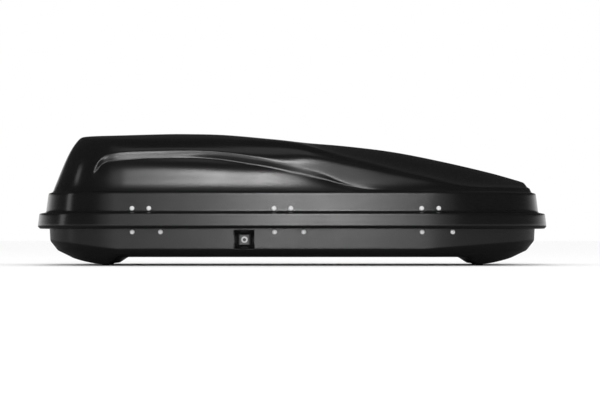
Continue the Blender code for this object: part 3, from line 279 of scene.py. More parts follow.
# Floor and camera
FLOOR_REACH = 60.0
FLOOR_DROP = 0.0005
CAMERA_PLACE = (0.026, -8.39, 0.095)
CAMERA_LENS = 142.0
CAMERA_SENSOR = 36.0
CAMERA_SHIFT_UP = 0.0630
CAMERA_REACH = 200.0


def mix(a, b, t):
    return a + (b - a) * t


def ease(t):
    t = np.clip(t, 0, 1)
    return t * t * (3 - 2 * t)


def through(points, x):
    """The height at each x of a smooth curve through the points, level past its ends."""
    px, py = np.array(points).T
    slope = np.empty(len(px))
    slope[1:-1] = (py[2:] - py[:-2]) / (px[2:] - px[:-2])
    slope[0] = (py[1] - py[0]) / (px[1] - px[0])
    slope[-1] = (py[-1] - py[-2]) / (px[-1] - px[-2])
    x = np.clip(x, px[0], px[-1])
    k = np.clip(np.searchsorted(px, x, side="right") - 1, 0, len(px) - 2)
    span = px[k + 1] - px[k]
    t = (x - px[k]) / span
    rise = py[k + 1] - py[k]
    bend = (1 - t) * slope[k] * span - t * slope[k + 1] * span - (1 - 2 * t) * rise
    return py[k] + t * rise + t * (1 - t) * bend


# Columns: places round half the outline, from the nose's tip to the tail's, at a turn of 0 to 3
def columns_at(turns):
    """Zone (1 nose, 0 side, -1 tail), share along it and share across, at each turn round the outline."""
    zone = np.where(turns < 1, 1, np.where(turns > 2, -1, 0))
    nose = np.clip(1 - turns, 0, 1) * math.pi / 2
    tail = np.clip(turns - 2, 0, 1) * math.pi / 2
    side = mix(NOSE_START, TAIL_START, np.clip(turns - 1, 0, 1))
    along = np.where(zone > 0, np.sin(nose) ** (2 / NOSE_POWER), np.sin(tail) ** (2 / TAIL_POWER))
    curved = np.where(zone > 0, 1 - along**NOSE_POWER, 1 - along**TAIL_POWER)
    power = np.where(zone > 0, 1 / NOSE_POWER, 1 / TAIL_POWER)
    across = np.maximum(curved, 0) ** power
    across[(turns < TINY) | (turns > 3 - TINY)] = 0
    return zone, np.where(zone == 0, side, along), np.where(zone == 0, 1, across)


def plan(columns, nose_end, tail_end, half_width):
    """The x and y of an outline with these ends and this half width, at each column."""
    zone, along, across = columns
    nose = mix(NOSE_START, nose_end, along)
    tail = mix(TAIL_START, tail_end, along)
    return np.where(zone > 0, nose, np.where(zone < 0, tail, along)), half_width * across


def inset_plan(columns, end_inset, side_inset=None):
    side_inset = end_inset if side_inset is None else side_inset
    return plan(columns, HALF - end_inset, end_inset - HALF, WIDTH / 2 - side_inset)


def even_turns(count, crowding):
    """Turns at even steps round the outline, closer together where the crowding at x is above 1."""
    turns = np.linspace(0, 3, TURN_COUNT)
    x, y = inset_plan(columns_at(turns), 0)
    steps = np.hypot(np.diff(x), np.diff(y)) * crowding((x[1:] + x[:-1]) / 2)
    travelled = np.concatenate(([0], np.cumsum(steps)))
    return np.interp(np.linspace(0, travelled[-1], count), travelled, turns)


def crowding_between(low, high, amount):
    return lambda x: np.where((x > low) & (x < high), amount, 1)


def turn_at(x, reach=HALF):
    """The turn at which an outline that reaches this far has its point at x."""
    if x > NOSE_START:
        return 1 - math.asin(((x - NOSE_START) / (reach - NOSE_START)) ** (NOSE_POWER / 2)) * 2 / math.pi
    if x < TAIL_START:
        return 2 + math.asin(((TAIL_START - x) / (reach + TAIL_START)) ** (TAIL_POWER / 2)) * 2 / math.pi
    return 1 + (NOSE_START - x) / (NOSE_START - TAIL_START)


# Lid surface
def line_height(line, x):
    return LEDGE + RISE * through(line, x / HALF)


def swoosh_depth(x):
    """How far the flank is pressed in under the swoosh: it grows from the tail and fades towards the nose."""
    toward_nose = ease((SWOOSH_NOSE_SHARE - x / HALF) / SWOOSH_FADE_SHARE)
    toward_tail = ease((x / HALF - SWOOSH_TAIL_SHARE) / SWOOSH_CURL_SHARE)
    grown = mix(SWOOSH_TAIL_DEPTH_SHARE, 1, ease((x / HALF - SWOOSH_TAIL_SHARE) / SWOOSH_GROWTH_SHARE))
    shallower = mix(SHALLOW_DEPTH_SHARE, 1, ease((SHALLOW_START_SHARE - x / HALF) / SHALLOW_REACH_SHARE))
    return SWOOSH_DEPTH * toward_nose * toward_tail * grown * shallower


def taper(x):
    """How far the lid's body has drawn in at x, on its way to the nose."""
    return TAPER_SLOPE * np.maximum(x + HALF - TAPER_START_INSET, 0)


def hood_share(x):
    """How far the lid has turned from its rounded body, at 0, into its hood towards the nose, at 1."""
    return ease((x / HALF - HOOD_START_SHARE) / HOOD_FADE_SHARE)


def crest(columns):
    """The line between flank and roof."""
    x, y = plan(columns, HALF - CREST_NOSE_INSET, CREST_TAIL_INSET - HALF, WIDTH / 2 - CREST_SIDE_INSET)
    widened = CREST_WIDENING * ease((x / HALF - WIDENING_START_SHARE) / WIDENING_REACH_SHARE)
    return x, y + (widened - taper(x)) * columns[2], line_height(CREST_SHARES, x)


def flank(columns, height, pressed):
    """The flank at a height from ledge to crest, pressed in by a share of the swoosh."""
    foot_x, foot_y = inset_plan(columns, LEDGE_INSET)
    crest_x, crest_y, crest_z = crest(columns)
    t = (height - LEDGE) / (crest_z - LEDGE)
    lean = mix(END_LEAN_SHARE, SIDE_LEAN_SHARE, columns[2] ** LEAN_FADE_POWER)
    power = mix(CREST_POWER, HOOD_CREST_POWER, hood_share(crest_x))
    share = lean * t + (1 - lean) * t**power
    x = mix(foot_x, crest_x, share)
    sweep = COVE * columns[2]
    shelf = (SHELF + taper(x)) * columns[2]
    swept = np.minimum((height - LEDGE) / np.minimum(COVE_HEIGHT, COVE_CREST_SHARE * (crest_z - LEDGE)), 1)
    y = mix(foot_y - shelf - sweep, crest_y, share) + sweep * (1 - swept) ** 2
    return x, y - pressed * swoosh_depth(x), height


def roof(columns, share):
    """The roof, at a share of the way from the crest to the centre line."""
    crest_x, crest_y, crest_z = crest(columns)
    spine_x, _ = plan(columns, HALF - SPINE_NOSE_INSET, SPINE_TAIL_INSET - HALF, 0)
    x = mix(crest_x, spine_x, share)
    crowned = 1 - (1 - share) ** CROWN_POWER
    rise = mix(crowned, ease(share), hood_share(crest_x))
    return x, crest_y * (1 - share), mix(crest_z, line_height(ROOF_SHARES, spine_x), rise)


def crowded(count, power=USUAL_CROWDING):
    """Shares from 0 to 1, closer together towards both ends."""
    t = np.linspace(0, 1, count + 1)
    return mix(t, ease(t), power)


def lid_rows(columns):
    """The lid's outer surface as rows of points and each row's softness, from the lip to the centre line."""
    rows = []
    softness = []
    for step_count, low, high in zip(RIM_STEPS, RIM_CORNERS, RIM_CORNERS[1:]):
        for share in crowded(step_count)[:-1]:
            inset = mix(low[0], high[0], share)
            x, y = inset_plan(columns, inset)
            rows.append((x, y, np.full_like(x, mix(low[1], high[1], share))))
            softness.append(RIM_SOFTNESS)
    crest_x, _, crest_z = crest(columns)
    lower = line_height(SWOOSH_LOWER_SHARES, crest_x)
    upper = line_height(SWOOSH_UPPER_SHARES, crest_x)
    for share in crowded(FLANK_STEPS, FLANK_CROWDING)[:-1]:
        rows.append(flank(columns, mix(LEDGE, lower, share), share**SCOOP_POWER))
        softness.append(EDGE_SOFTNESS)
    for share in crowded(STEP_STEPS)[:-1]:
        rows.append(flank(columns, mix(lower, upper, share), 1 - share))
        softness.append(mix(EDGE_SOFTNESS, UPPER_EDGE_SOFTNESS, share))
    crest_softness = mix(CROWN_SOFTNESS, HOOD_SOFTNESS, hood_share(crest_x))
    for share in crowded(WING_STEPS, WING_CROWDING)[:-1]:
        rows.append(flank(columns, mix(upper, crest_z, share), 0))
        softness.append(mix(UPPER_EDGE_SOFTNESS, crest_softness, ease(2 * share)))
    for share in np.linspace(0, 1, ROOF_STEPS + 1) ** ROOF_CROWDING_POWER:
        rows.append(roof(columns, share))
        softness.append(crest_softness)
    width = len(columns[0])
    points = np.array([np.stack([np.broadcast_to(v, (width,)) for v in row], axis=-1) for row in rows])
    return points, np.array([np.broadcast_to(s, (width,)) for s in softness])


def soften(points, softness):
    """Rounds each column's corners with a bell-shaped average along its length; its ends stay."""
    result = points.copy()
    for i in range(points.shape[1]):
        column = points[:, i]
        steps = np.linalg.norm(np.diff(column, axis=0), axis=1)
        place = np.concatenate(([0], np.cumsum(steps)))
        span = np.zeros(len(place))
        span[:-1] += steps / 2
        span[1:] += steps / 2
        reach = np.minimum(softness[:, i], np.minimum(place, place[-1] - place) / 3)
        reach = np.maximum(reach, LEAST_SOFTNESS)[:, None]
        weight = np.exp(-0.5 * ((place[:, None] - place[None, :]) / reach) ** 2) * (span + TINY)
        result[:, i] = weight @ column / weight.sum(axis=1, keepdims=True)
    result[0] = points[0]
    result[-1] = points[-1]
    return result


def grid_faces(rows, columns, start, flipped, missing=None):
    faces = []
    for r in range(rows - 1):
        for c in range(columns - 1):
            if missing is not None and missing[r, c]:
                continue
            a = start + r * columns + c
            quad = (a, a + columns, a + columns + 1, a + 1)
            faces.append(quad[::-1] if flipped else quad)
    return faces


def shell_from(name, lock_side, hinge_side, missing=None):
    """Two grids of points, one for each side, joined along the middle and thickened inwards."""
    rows, columns, _ = lock_side.shape
    points = np.concatenate((lock_side.reshape(-1, 3), hinge_side.reshape(-1, 3)))
    faces = grid_faces(rows, columns, 0, False, missing)
    faces += grid_faces(rows, columns, rows * columns, True, missing)
    mesh = bpy.data.meshes.new(name)
    mesh.from_pydata(points.tolist(), [], faces)
    shape = bmesh.new()
    shape.from_mesh(mesh)
    bmesh.ops.remove_doubles(shape, verts=shape.verts, dist=WELD_DISTANCE)
    bmesh.ops.dissolve_degenerate(shape, edges=shape.edges, dist=SMALLEST_EDGE)
    for face in shape.faces:
        face.smooth = True
    shape.to_mesh(mesh)
    shape.free()
    obj = bpy.data.objects.new(name, mesh)
    bpy.context.scene.collection.objects.link(obj)
    thicken = obj.modifiers.new("Sheet", "SOLIDIFY")
    thicken.thickness = WALL
    thicken.offset = -1
    return obj


def mirrored(points):
    return points * np.array([1, -1, 1])


def lid_skin():
    turns = even_turns(LID_COLUMNS, crowding_between(*FORK_ENDS_X, FORK_CROWDING))
    points = mirrored(soften(*lid_rows(columns_at(turns))))
    skin = shell_from("lid_skin", points, mirrored(points))
    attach(skin, "lid")
    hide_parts("lid_shell")
    return skin


# Base surface
def floor_height(x):
    """The underside's height: a raised middle, a low pad towards each end, then a rise to the end."""
    distance = np.abs(x)
    ramp = mix(FLOOR, PAD, np.clip((distance - RAMP_X) / RAMP_LENGTH, 0, 1))
    past = np.maximum(distance - PAD_END_X, 0)
    reach = HALF - FLOOR_END_INSET - PAD_END_X
    return np.where(distance < RAMP_X + RAMP_LENGTH, ramp, PAD + END_RISE * (past / reach) ** END_RISE_POWER)


def recess_depth(x, z):
    """How far the lock's recess is pressed in at each point of the wall, with eased corners."""
    across = RECESS_WIDTH / 2 - np.abs(x - LOCK_X)
    up = RECESS_HEIGHT / 2 - np.abs(z - RECESS_MIDDLE)
    share = np.clip(np.minimum(across, up) / RECESS_SLOPE, -1, 2)
    foot = share + np.hypot(share, RECESS_ROUNDING_SHARE)
    floor_edge = share - 1 + np.hypot(share - 1, RECESS_ROUNDING_SHARE)
    soft = (foot - floor_edge) / 2
    return RECESS_DEPTH * np.clip(soft, 0, 1) * (share > 0)


def base_rows(columns):
    """The base's outer surface as rows of points, from mid-floor to rim, and the floor rows' shares."""
    edge_x, edge_y = inset_plan(columns, FLOOR_END_INSET, FLOOR_EDGE_INSET)
    share_to_end = np.where(columns[0] == 0, 0, columns[1])
    slot = [(RAIL_Y + way * CLAMP_SLOT_WIDTH / 2) / FLOOR_HALF_WIDTH for way in (-1, 1)]
    floor_shares = sorted({*np.linspace(0, 1, FLOOR_ROWS), *slot})
    rows = [(edge_x, edge_y * share, floor_height(edge_x)) for share in floor_shares]
    bilge_x, bilge_y = inset_plan(columns, BILGE_END_INSET, BILGE_INSET)
    bilge_z = mix(BILGE, BILGE_END, share_to_end)
    crease_x, crease_y = inset_plan(columns, BASE_INSET + BASE_END_LEAN, BASE_INSET)
    crease_z = mix(CREASE, CREASE_END, share_to_end)
    corners = (
        (edge_x, edge_y, floor_height(edge_x)), (bilge_x, bilge_y, bilge_z), (crease_x, crease_y, crease_z),
    )
    for low, high in zip(corners, corners[1:]):
        for share in crowded(BASE_SLOPE_STEPS)[1:]:
            rows.append(tuple(mix(a, b, share) for a, b in zip(low, high)))
    top_x, top_y = inset_plan(columns, BASE_INSET)
    count = int((RIM_TOP - WALL - CREASE) / RECESS_SPACING)
    edges = [
        RECESS_MIDDLE + way * (RECESS_HEIGHT / 2 + out) for way in (-1, 1) for out in RECESS_EDGE_OFFSETS
    ]
    edge_shares = [(z - CREASE) / (RIM_TOP - WALL - CREASE) for z in edges]
    for share in sorted({*np.linspace(0, 1, count + 1)[1:], *edge_shares}):
        rows.append((
            mix(crease_x, top_x, share), mix(crease_y, top_y, share), mix(crease_z, RIM_TOP - WALL, share),
        ))
    rim_x, rim_y = inset_plan(columns, BASE_INSET - RIM_WIDTH)
    rows.append((rim_x, rim_y, np.full_like(rim_x, RIM_TOP - WALL)))
    points = np.array([np.stack(row, axis=-1) for row in rows])
    return points, floor_shares


def base_skin():
    """The base shell, with the clamp slots left open and the lock's recess pressed in on the lock side."""
    margin = RECESS_WIDTH / 2 + RECESS_SPACING
    turns = even_turns(BASE_COLUMNS, crowding_between(LOCK_X - margin, LOCK_X + margin, RECESS_CROWDING))
    reach = HALF - FLOOR_END_INSET
    stations = [turn_at(way * x, reach) for way in (-1, 1) for x in (RAMP_X, RAMP_X + RAMP_LENGTH, PAD_END_X)]
    slots = [way * (CLAMP_X + end * CLAMP_SLOT_LENGTH / 2) for way in (-1, 1) for end in (-1, 1)]
    recess = [LOCK_X + way * (RECESS_WIDTH / 2 + out) for way in (-1, 1) for out in RECESS_EDGE_OFFSETS]
    stations += [turn_at(x) for x in (*slots, *recess)]
    kept = [t for t in turns if min(abs(t - s) for s in stations) > LEAST_TURN]
    columns = columns_at(np.array(sorted([*kept, *stations])))
    points, floor_shares = base_rows(columns)
    softness = np.full(points.shape[:2], BASE_SOFTNESS)
    softness[: len(floor_shares) - 2] = LEAST_SOFTNESS
    softness[-3:] = LEAST_SOFTNESS
    hinge_side = soften(points, softness)
    lock_side = mirrored(hinge_side)
    pressed = recess_depth(lock_side[..., 0], lock_side[..., 2])
    lock_side[..., 1] += pressed * (lock_side[..., 1] < -WALL_ZONE_Y)
    low = (RAIL_Y - CLAMP_SLOT_WIDTH / 2) / FLOOR_HALF_WIDTH
    missing = np.zeros((points.shape[0] - 1, points.shape[1] - 1), bool)
    middle_x = (columns[1][1:] + columns[1][:-1]) / 2
    in_slot = (columns[0][1:] == 0) & (np.abs(np.abs(middle_x) - CLAMP_X) < CLAMP_SLOT_LENGTH / 2)
    missing[int(np.argmin(np.abs(np.array(floor_shares) - low)))] = in_slot
    skin = shell_from("base_skin", lock_side, hinge_side, missing)
    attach(skin, "base")
    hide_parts("base_shell")
    return skin


# Turned pieces
def turned(name, rings, sides, squeeze=None):
    """A closed body through rings of (radius, height), about +Z; a ring may be reshaped by a function."""
    angles = np.arange(sides) * 2 * math.pi / sides
    points = []
    for k, (radius, height) in enumerate(rings):
        if squeeze and k in squeeze:
            ring = squeeze[k](angles)
        else:
            ring = np.stack((radius * np.cos(angles), radius * np.sin(angles)), axis=-1)
        points += [(x, y, height) for x, y in ring]
    faces = []
    for k in range(len(rings) - 1):
        for i in range(sides):
            j = (i + 1) % sides
            faces.append((k * sides + i, k * sides + j, (k + 1) * sides + j, (k + 1) * sides + i))
    faces.append(tuple(range(sides))[::-1])
    last = (len(rings) - 1) * sides
    faces.append(tuple(range(last, last + sides)))
    mesh = bpy.data.meshes.new(name)
    mesh.from_pydata([tuple(map(float, p)) for p in points], [], faces)
    obj = bpy.data.objects.new(name, mesh)
    bpy.context.scene.collection.objects.link(obj)
    for face in mesh.polygons:
        face.use_smooth = len(face.vertices) == 4
    return obj


def crisp(obj, angle=35):
    """Keeps the edges that turn by more than an angle sharp on a smoothly shaded mesh."""
    shape = bmesh.new()
    shape.from_mesh(obj.data)
    bmesh.ops.recalc_face_normals(shape, faces=shape.faces)
    for edge in shape.edges:
        edge.smooth = edge.calc_face_angle(0) < math.radians(angle)
    shape.to_mesh(obj.data)
    shape.free()


def aim(obj, start, direction):
    turn = Vector(direction).to_track_quat("Z", "Y").to_matrix().to_4x4()
    obj.matrix_world = Matrix.Translation(start) @ turn


def half_width_at(inset, x):
    if x > NOSE_START:
        share = (x - NOSE_START) / (NOSE_LENGTH - inset)
        return (WIDTH / 2 - inset) * (1 - share**NOSE_POWER) ** (1 / NOSE_POWER)
    return WIDTH / 2 - inset


def rivet_spots():
    """Each rivet's node, side, x, height, sheet under its head, and whether it holds the lid."""
    spots = []
    for number, latch in enumerate(LATCH_X):
        for end, offset in zip("ab", BASE_RIVET_OFFSETS[number]):
            spots.append((f"latch_rivet_{number + 1}{end}", -1, latch + offset, BASE_RIVET_Z, 0, False))
        for end, offset in zip("ab", LID_RIVET_OFFSETS[number]):
            spots.append((f"striker_rivet_{number + 1}{end}", -1, latch + offset, LID_RIVET_Z, 0, True))
    for number, middle in enumerate(HINGE_X, 1):
        for end, way in (("a", -1), ("b", 1)):
            x = middle + way * BASE_LEAF_RIVETS / 2
            spots.append((f"hinge_base_rivet_{number}{end}", 1, x, BASE_RIVET_Z, SHEET + GAP, False))
            x = middle + way * LID_LEAF_RIVETS / 2
            spots.append((f"hinge_lid_rivet_{number}{end}", 1, x, LID_RIVET_Z, 0, True))
    return spots


def rivet(node, side, x, height, under_head, on_lid):
    """A domed head with a small dimple, a shank, and the spread tail inside the wall."""
    inset = BAND_FOOT[0] + BAND_SLOPE * (height - BAND_FOOT[1]) if on_lid else BASE_INSET
    turn = (half_width_at(inset, x + TURN_STEP) - half_width_at(inset, x - TURN_STEP)) / (2 * TURN_STEP)
    facing = (-turn, side, BAND_SLOPE if on_lid else 0)
    grip = WALL + GAP + (SHEET if under_head == 0 else 0) + GAP
    head = under_head + GAP
    dome = [(RIVET_HEAD * math.cos(a), RIVET_HEIGHT * math.sin(a)) for a in np.radians(DOME_ANGLES)]
    rings = [
        (RIVET_BULGE * TAIL_TIP_SHARE, -grip - RIVET_TAIL),
        (RIVET_BULGE, -grip - RIVET_TAIL * TAIL_ROUND_SHARE), (RIVET_BULGE, -grip),
        (RIVET_SHANK, -grip), (RIVET_SHANK, head), (RIVET_HEAD * HEAD_FOOT_SHARE, head),
        *[(r, head + z) for r, z in dome],
        (RIVET_DIMPLE, head + RIVET_HEIGHT * DIMPLE_RIM_SHARE),
        (RIVET_DIMPLE * DIMPLE_WALL_SHARE, head + RIVET_HEIGHT - RIVET_DIMPLE_DEPTH * DIMPLE_FLOOR_SHARE),
        (RIVET_DIMPLE * DIMPLE_FLOOR_SHARE, head + RIVET_HEIGHT - RIVET_DIMPLE_DEPTH),
    ]
    piece = turned(f"fine_{node}", rings, RIVET_SIDES)
    crisp(piece)
    aim(piece, (x, side * half_width_at(inset, x), height), facing)
    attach(piece, "lid" if on_lid else "base")
    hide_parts(node)
    return piece


def lock_pieces():
    """The ring with its sleeve, and the plug with its key slot."""
    front = RECESS_DEPTH - GAP - PLATE_THICKNESS - GAP - BARREL_FLANGE
    end = RECESS_DEPTH + WALL + BARREL_TAIL
    ring = turned("lock_ring", [
        (BORE_RADIUS, end), (BARREL_RADIUS, end), (BARREL_RADIUS, front + BARREL_FLANGE),
        (BARREL_FLANGE_RADIUS, front + BARREL_FLANGE), (BARREL_FLANGE_RADIUS, front + RING_ROUND_DEPTH),
        (BARREL_FLANGE_RADIUS - RING_NIP_IN, front + RING_NIP), (BARREL_FLANGE_RADIUS - RING_ROUND, front),
        (BORE_RADIUS + RING_ROUND, front), (BORE_RADIUS + RING_NIP, front + RING_NIP),
        (BORE_RADIUS, front + RING_ROUND), (BORE_RADIUS, end),
    ], LOCK_SIDES)
    shape = bmesh.new()
    shape.from_mesh(ring.data)
    bmesh.ops.delete(shape, geom=[f for f in shape.faces if len(f.verts) > 4], context="FACES_ONLY")
    bmesh.ops.remove_doubles(shape, verts=shape.verts, dist=SMALLEST_EDGE)
    shape.to_mesh(ring.data)
    shape.free()

    def slot_ring(angles):
        """The key slot's edge, as the point of a slim rounded box in each direction."""
        across = np.abs(np.cos(angles) / (KEY_WIDTH / 2)) ** KEY_POWER
        along = np.abs(np.sin(angles) / (KEY_HEIGHT / 2)) ** KEY_POWER
        reach = (across + along) ** (-1 / KEY_POWER)
        return np.stack((reach * np.cos(angles), reach * np.sin(angles)), axis=-1)

    face = front + GAP
    plug = turned("lock_plug_face", [
        (PLUG_TAIL_RADIUS, end + 2 * GAP + PLUG_TAIL), (PLUG_TAIL_RADIUS, end + GAP),
        (PLUG_RADIUS, end + GAP), (PLUG_RADIUS, face + RING_NIP_IN), (PLUG_RADIUS - RING_NIP_IN, face),
        (0, face), (0, face + KEY_DEPTH),
    ], LOCK_SIDES, {5: slot_ring, 6: slot_ring})
    for piece, node, body in ((ring, "lock_barrel", "base"), (plug, "lock_plug", "key_plug")):
        crisp(piece)
        aim(piece, (LOCK_X, -BASE_HALF_WIDTH, LOCK_Z), (0, 1, 0))
        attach(piece, body)
        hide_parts(node)
    return [ring, plug]


def studs():
    """The four studs that the box stands on, with an eased foot and their tops just inside the pads."""
    pieces = []
    low = STUD_RADIUS - STUD_TAPER
    rings = [(low * share, height) for share, height in STUD_FOOT]
    rings += [(STUD_RADIUS, PAD), (STUD_RADIUS, PAD + STUD_SEAT)]
    places = [(x, y) for x in (-STUD_X, STUD_X) for y in (-STUD_Y, STUD_Y)]
    for number, (x, y) in enumerate(places, 1):
        stud = turned(f"standing_stud_{number}", rings, RIVET_SIDES)
        crisp(stud, angle=50)
        stud.location = (x, y, 0)
        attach(stud, "base")
        pieces.append(stud)
    return pieces


# Finishes
def grain_group():
    """A surface's fine unevenness as a normal, and a broad drift as a value from 0 to 1."""
    group = bpy.data.node_groups.new("surface_grain", "ShaderNodeTree")
    for name in ("Fine Scale", "Fine Depth", "Broad Scale"):
        group.interface.new_socket(name, in_out="INPUT", socket_type="NodeSocketFloat")
    group.interface.new_socket("Normal", in_out="OUTPUT", socket_type="NodeSocketVector")
    group.interface.new_socket("Value", in_out="OUTPUT", socket_type="NodeSocketFloat")
    nodes = group.nodes
    link = group.links.new
    entry = nodes.new("NodeGroupInput")
    leave = nodes.new("NodeGroupOutput")
    place = nodes.new("ShaderNodeTexCoord")

    def noise(scale):
        texture = nodes.new("ShaderNodeTexNoise")
        texture.inputs["Detail"].default_value = NOISE_DETAIL
        link(place.outputs["Object"], texture.inputs["Vector"])
        link(entry.outputs[scale], texture.inputs["Scale"])
        return texture.outputs["Fac"]

    bump = nodes.new("ShaderNodeBump")
    bump.inputs["Strength"].default_value = 1
    link(entry.outputs["Fine Depth"], bump.inputs["Distance"])
    link(noise("Fine Scale"), bump.inputs["Height"])
    link(bump.outputs["Normal"], leave.inputs["Normal"])
    link(noise("Broad Scale"), leave.inputs["Value"])
    return group


def finish(name, dark, light, rough, metallic=0.0, specular=0.5, grain=(900, 0.00002), drift=9):
    """A surface whose colour and gloss drift a little, with a fine grain of a scale and a depth."""
    material = bpy.data.materials.new(name)
    material.use_nodes = True
    nodes = material.node_tree.nodes
    link = material.node_tree.links.new
    shader = nodes["Principled BSDF"]
    shader.inputs["Metallic"].default_value = metallic
    shader.inputs["Specular IOR Level"].default_value = specular
    uneven = nodes.new("ShaderNodeGroup")
    uneven.node_tree = GRAIN
    for socket, value in zip(("Fine Scale", "Fine Depth", "Broad Scale"), (*grain, drift)):
        uneven.inputs[socket].default_value = value
    tint = nodes.new("ShaderNodeMix")
    tint.data_type = "RGBA"
    tint.inputs["A"].default_value = (*dark, 1)
    tint.inputs["B"].default_value = (*light, 1)
    link(uneven.outputs["Value"], tint.inputs["Factor"])
    link(tint.outputs["Result"], shader.inputs["Base Color"])
    gloss = nodes.new("ShaderNodeMapRange")
    for socket, value in zip(("From Min", "From Max", "To Min", "To Max"), (*DRIFT_SPAN, *rough)):
        gloss.inputs[socket].default_value = value
    link(uneven.outputs["Value"], gloss.inputs["Value"])
    link(gloss.outputs["Result"], shader.inputs["Roughness"])
    link(uneven.outputs["Normal"], shader.inputs["Normal"])
    return material


def give(obj, material):
    obj.data.materials.clear()
    obj.data.materials.append(material)


GRAIN = grain_group()
LID_BLACK = finish(
    "lid_satin_black", (0.004, 0.004, 0.0042), (0.006, 0.006, 0.0062), (0.19, 0.22),
    grain=(1100, 0.00002), drift=7,
)
BASE_BLACK = finish(
    "base_satin_black", (0.004, 0.004, 0.0042), (0.006, 0.006, 0.0062), (0.21, 0.25),
    grain=(1100, 0.00003), drift=7,
)
LOCK_GREY = finish(
    "lock_plate_grey", (0.075, 0.075, 0.077), (0.095, 0.095, 0.097), (0.36, 0.44),
    grain=(1500, 0.00002), drift=30,
)
RIVET_BRIGHT = finish(
    "rivet_bright_metal", (0.78, 0.78, 0.79), (0.86, 0.86, 0.87), (0.36, 0.44), metallic=0.3,
    grain=(1500, 0.00001), drift=60,
)
LOCK_CHROME = finish(
    "lock_satin_chrome", (0.58, 0.58, 0.585), (0.66, 0.66, 0.665), (0.34, 0.42), metallic=0.4,
    grain=(1500, 0.00001), drift=60,
)
# Painted shade: the key plug gets a much darker copy of the ring's metal, standing in for the shade in the
# recessed plug face
LOCK_PLUG_PAINTED_SHADE = finish(
    "lock_plug_painted_shade_metal", (0.07, 0.07, 0.071), (0.10, 0.10, 0.101), (0.34, 0.42), metallic=0.5,
    grain=(1500, 0.00001), drift=60,
)
ZINC = finish(
    "zinc_plated_steel", (0.40, 0.40, 0.41), (0.50, 0.50, 0.51), (0.32, 0.46), metallic=0.9,
    grain=(1200, 0.00002), drift=30,
)
BLACK_COAT = finish(
    "black_coated_steel", (0.022, 0.022, 0.022), (0.030, 0.030, 0.030), (0.45, 0.55),
    grain=(1300, 0.00003), drift=30,
)
FINISHES = {
    "black_plastic": BASE_BLACK, "grey_plastic": LOCK_GREY, "rivet_metal": RIVET_BRIGHT,
    "chrome": LOCK_CHROME, "zinc_steel": ZINC, "black_steel": BLACK_COAT,
}


def dress_fittings():
    """The steel fittings keep their shapes, with their edges just broken."""
    slots = {part["node"]: part["material_slot"] for part in frame["record"]["subparts"]}
    for name, node in frame["nodes"].items():
        give(node, FINISHES[slots[name]])
        if slots[name] in ("zinc_steel", "black_steel", "grey_plastic") and not node.hide_render:
            ease_edge = node.modifiers.new("Broken edge", "BEVEL")
            ease_edge.width = BROKEN_EDGE
            ease_edge.segments = 2
            ease_edge.limit_method = "ANGLE"
            ease_edge.angle_limit = math.radians(BROKEN_EDGE_ANGLE)


# Stage
def white_world():
    """White to the camera and as plain light; in gloss, a bright band at the horizon under a dark sky."""
    world = bpy.data.worlds.new("studio")
    bpy.context.scene.world = world
    world.use_nodes = True
    nodes = world.node_tree.nodes
    link = world.node_tree.links.new
    nodes.clear()
    path = nodes.new("ShaderNodeLightPath")
    direction = nodes.new("ShaderNodeNewGeometry")
    height = nodes.new("ShaderNodeSeparateXYZ")
    link(direction.outputs["Position"], height.inputs["Vector"])
    band = nodes.new("ShaderNodeMapRange")
    band.interpolation_type = "SMOOTHSTEP"
    for socket, value in zip(("From Min", "From Max", "To Min", "To Max"), (*HORIZON_BAND, 1.0, DARK_SKY)):
        band.inputs[socket].default_value = value
    link(height.outputs["Z"], band.inputs["Value"])
    shown = nodes.new("ShaderNodeMath")
    shown.operation = "MAXIMUM"
    link(path.outputs["Is Camera Ray"], shown.inputs[0])
    link(path.outputs["Is Transmission Ray"], shown.inputs[1])
    mirror = nodes.new("ShaderNodeMix")
    link(path.outputs["Is Glossy Ray"], mirror.inputs["Factor"])
    mirror.inputs["A"].default_value = AMBIENT
    link(band.outputs["Result"], mirror.inputs["B"])
    strength = nodes.new("ShaderNodeMix")
    link(shown.outputs["Value"], strength.inputs["Factor"])
    link(mirror.outputs["Result"], strength.inputs["A"])
    strength.inputs["B"].default_value = 1.0
    background = nodes.new("ShaderNodeBackground")
    background.inputs["Color"].default_value = (1, 1, 1, 1)
    link(strength.outputs["Result"], background.inputs["Strength"])
    output = nodes.new("ShaderNodeOutputWorld")
    link(background.outputs["Background"], output.inputs["Surface"])


def softboxes():
    for name, width, height, place, power in SOFTBOXES:
        data = bpy.data.lights.new(name, "AREA")
        data.shape = "RECTANGLE"
        data.size = width
        data.size_y = height
        data.energy = power
        lamp = bpy.data.objects.new(name, data)
        bpy.context.scene.collection.objects.link(lamp)
        lamp.location = place
        lamp.rotation_euler = (Vector(SOFTBOX_AIM) - lamp.location).to_track_quat("-Z", "Y").to_euler()
        lamp.visible_camera = False


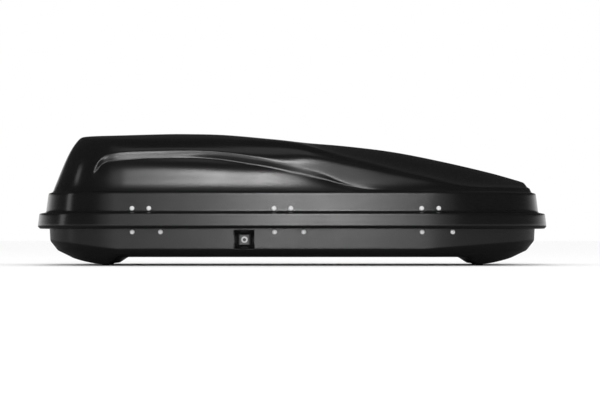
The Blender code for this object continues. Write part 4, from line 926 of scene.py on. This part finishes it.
def dim_in_gloss(material):
    """The floor is white to the camera, and a dim grey where a glossy surface shows it."""
    nodes = material.node_tree.nodes
    link = material.node_tree.links.new
    shader = nodes["Principled BSDF"]
    tint = shader.inputs["Base Color"].links[0].from_node
    path = nodes.new("ShaderNodeLightPath")
    dimmed = nodes.new("ShaderNodeMix")
    dimmed.data_type = "RGBA"
    link(path.outputs["Is Glossy Ray"], dimmed.inputs["Factor"])
    link(tint.outputs["Result"], dimmed.inputs["A"])
    dimmed.inputs["B"].default_value = (*FLOOR_IN_GLOSS, 1)
    link(dimmed.outputs["Result"], shader.inputs["Base Color"])


def floor():
    mesh = bpy.data.meshes.new("studio_floor")
    corners = [(x * FLOOR_REACH, y * FLOOR_REACH, 0) for x, y in ((-1, -1), (1, -1), (1, 1), (-1, 1))]
    mesh.from_pydata(corners, [], [(0, 1, 2, 3)])
    obj = bpy.data.objects.new("studio_floor", mesh)
    bpy.context.scene.collection.objects.link(obj)
    obj.location.z = -FLOOR_DROP
    material = finish(
        "studio_floor_white", (0.985, 0.985, 0.985), (0.995, 0.995, 0.995), (0.85, 0.95), specular=0.1,
        grain=(80, 0.0), drift=2,
    )
    dim_in_gloss(material)
    give(obj, material)


def camera():
    data = bpy.data.cameras.new("camera")
    data.lens = CAMERA_LENS
    data.sensor_width = CAMERA_SENSOR
    data.shift_y = CAMERA_SHIFT_UP
    data.clip_end = CAMERA_REACH
    obj = bpy.data.objects.new("camera", data)
    bpy.context.scene.collection.objects.link(obj)
    obj.location = CAMERA_PLACE
    obj.rotation_euler = (math.pi / 2, 0, 0)
    bpy.context.scene.camera = obj


give(lid_skin(), LID_BLACK)
give(base_skin(), BASE_BLACK)
for piece in studs():
    give(piece, BASE_BLACK)
for spot in rivet_spots():
    give(rivet(*spot), RIVET_BRIGHT)
# The ring gets the bright metal; the plug gets the darker metal of painted shade
for piece, metal in zip(lock_pieces(), (LOCK_CHROME, LOCK_PLUG_PAINTED_SHADE)):
    give(piece, metal)
dress_fittings()
white_world()
softboxes()
floor()
camera()
bpy.context.scene.view_settings.view_transform = "Standard"
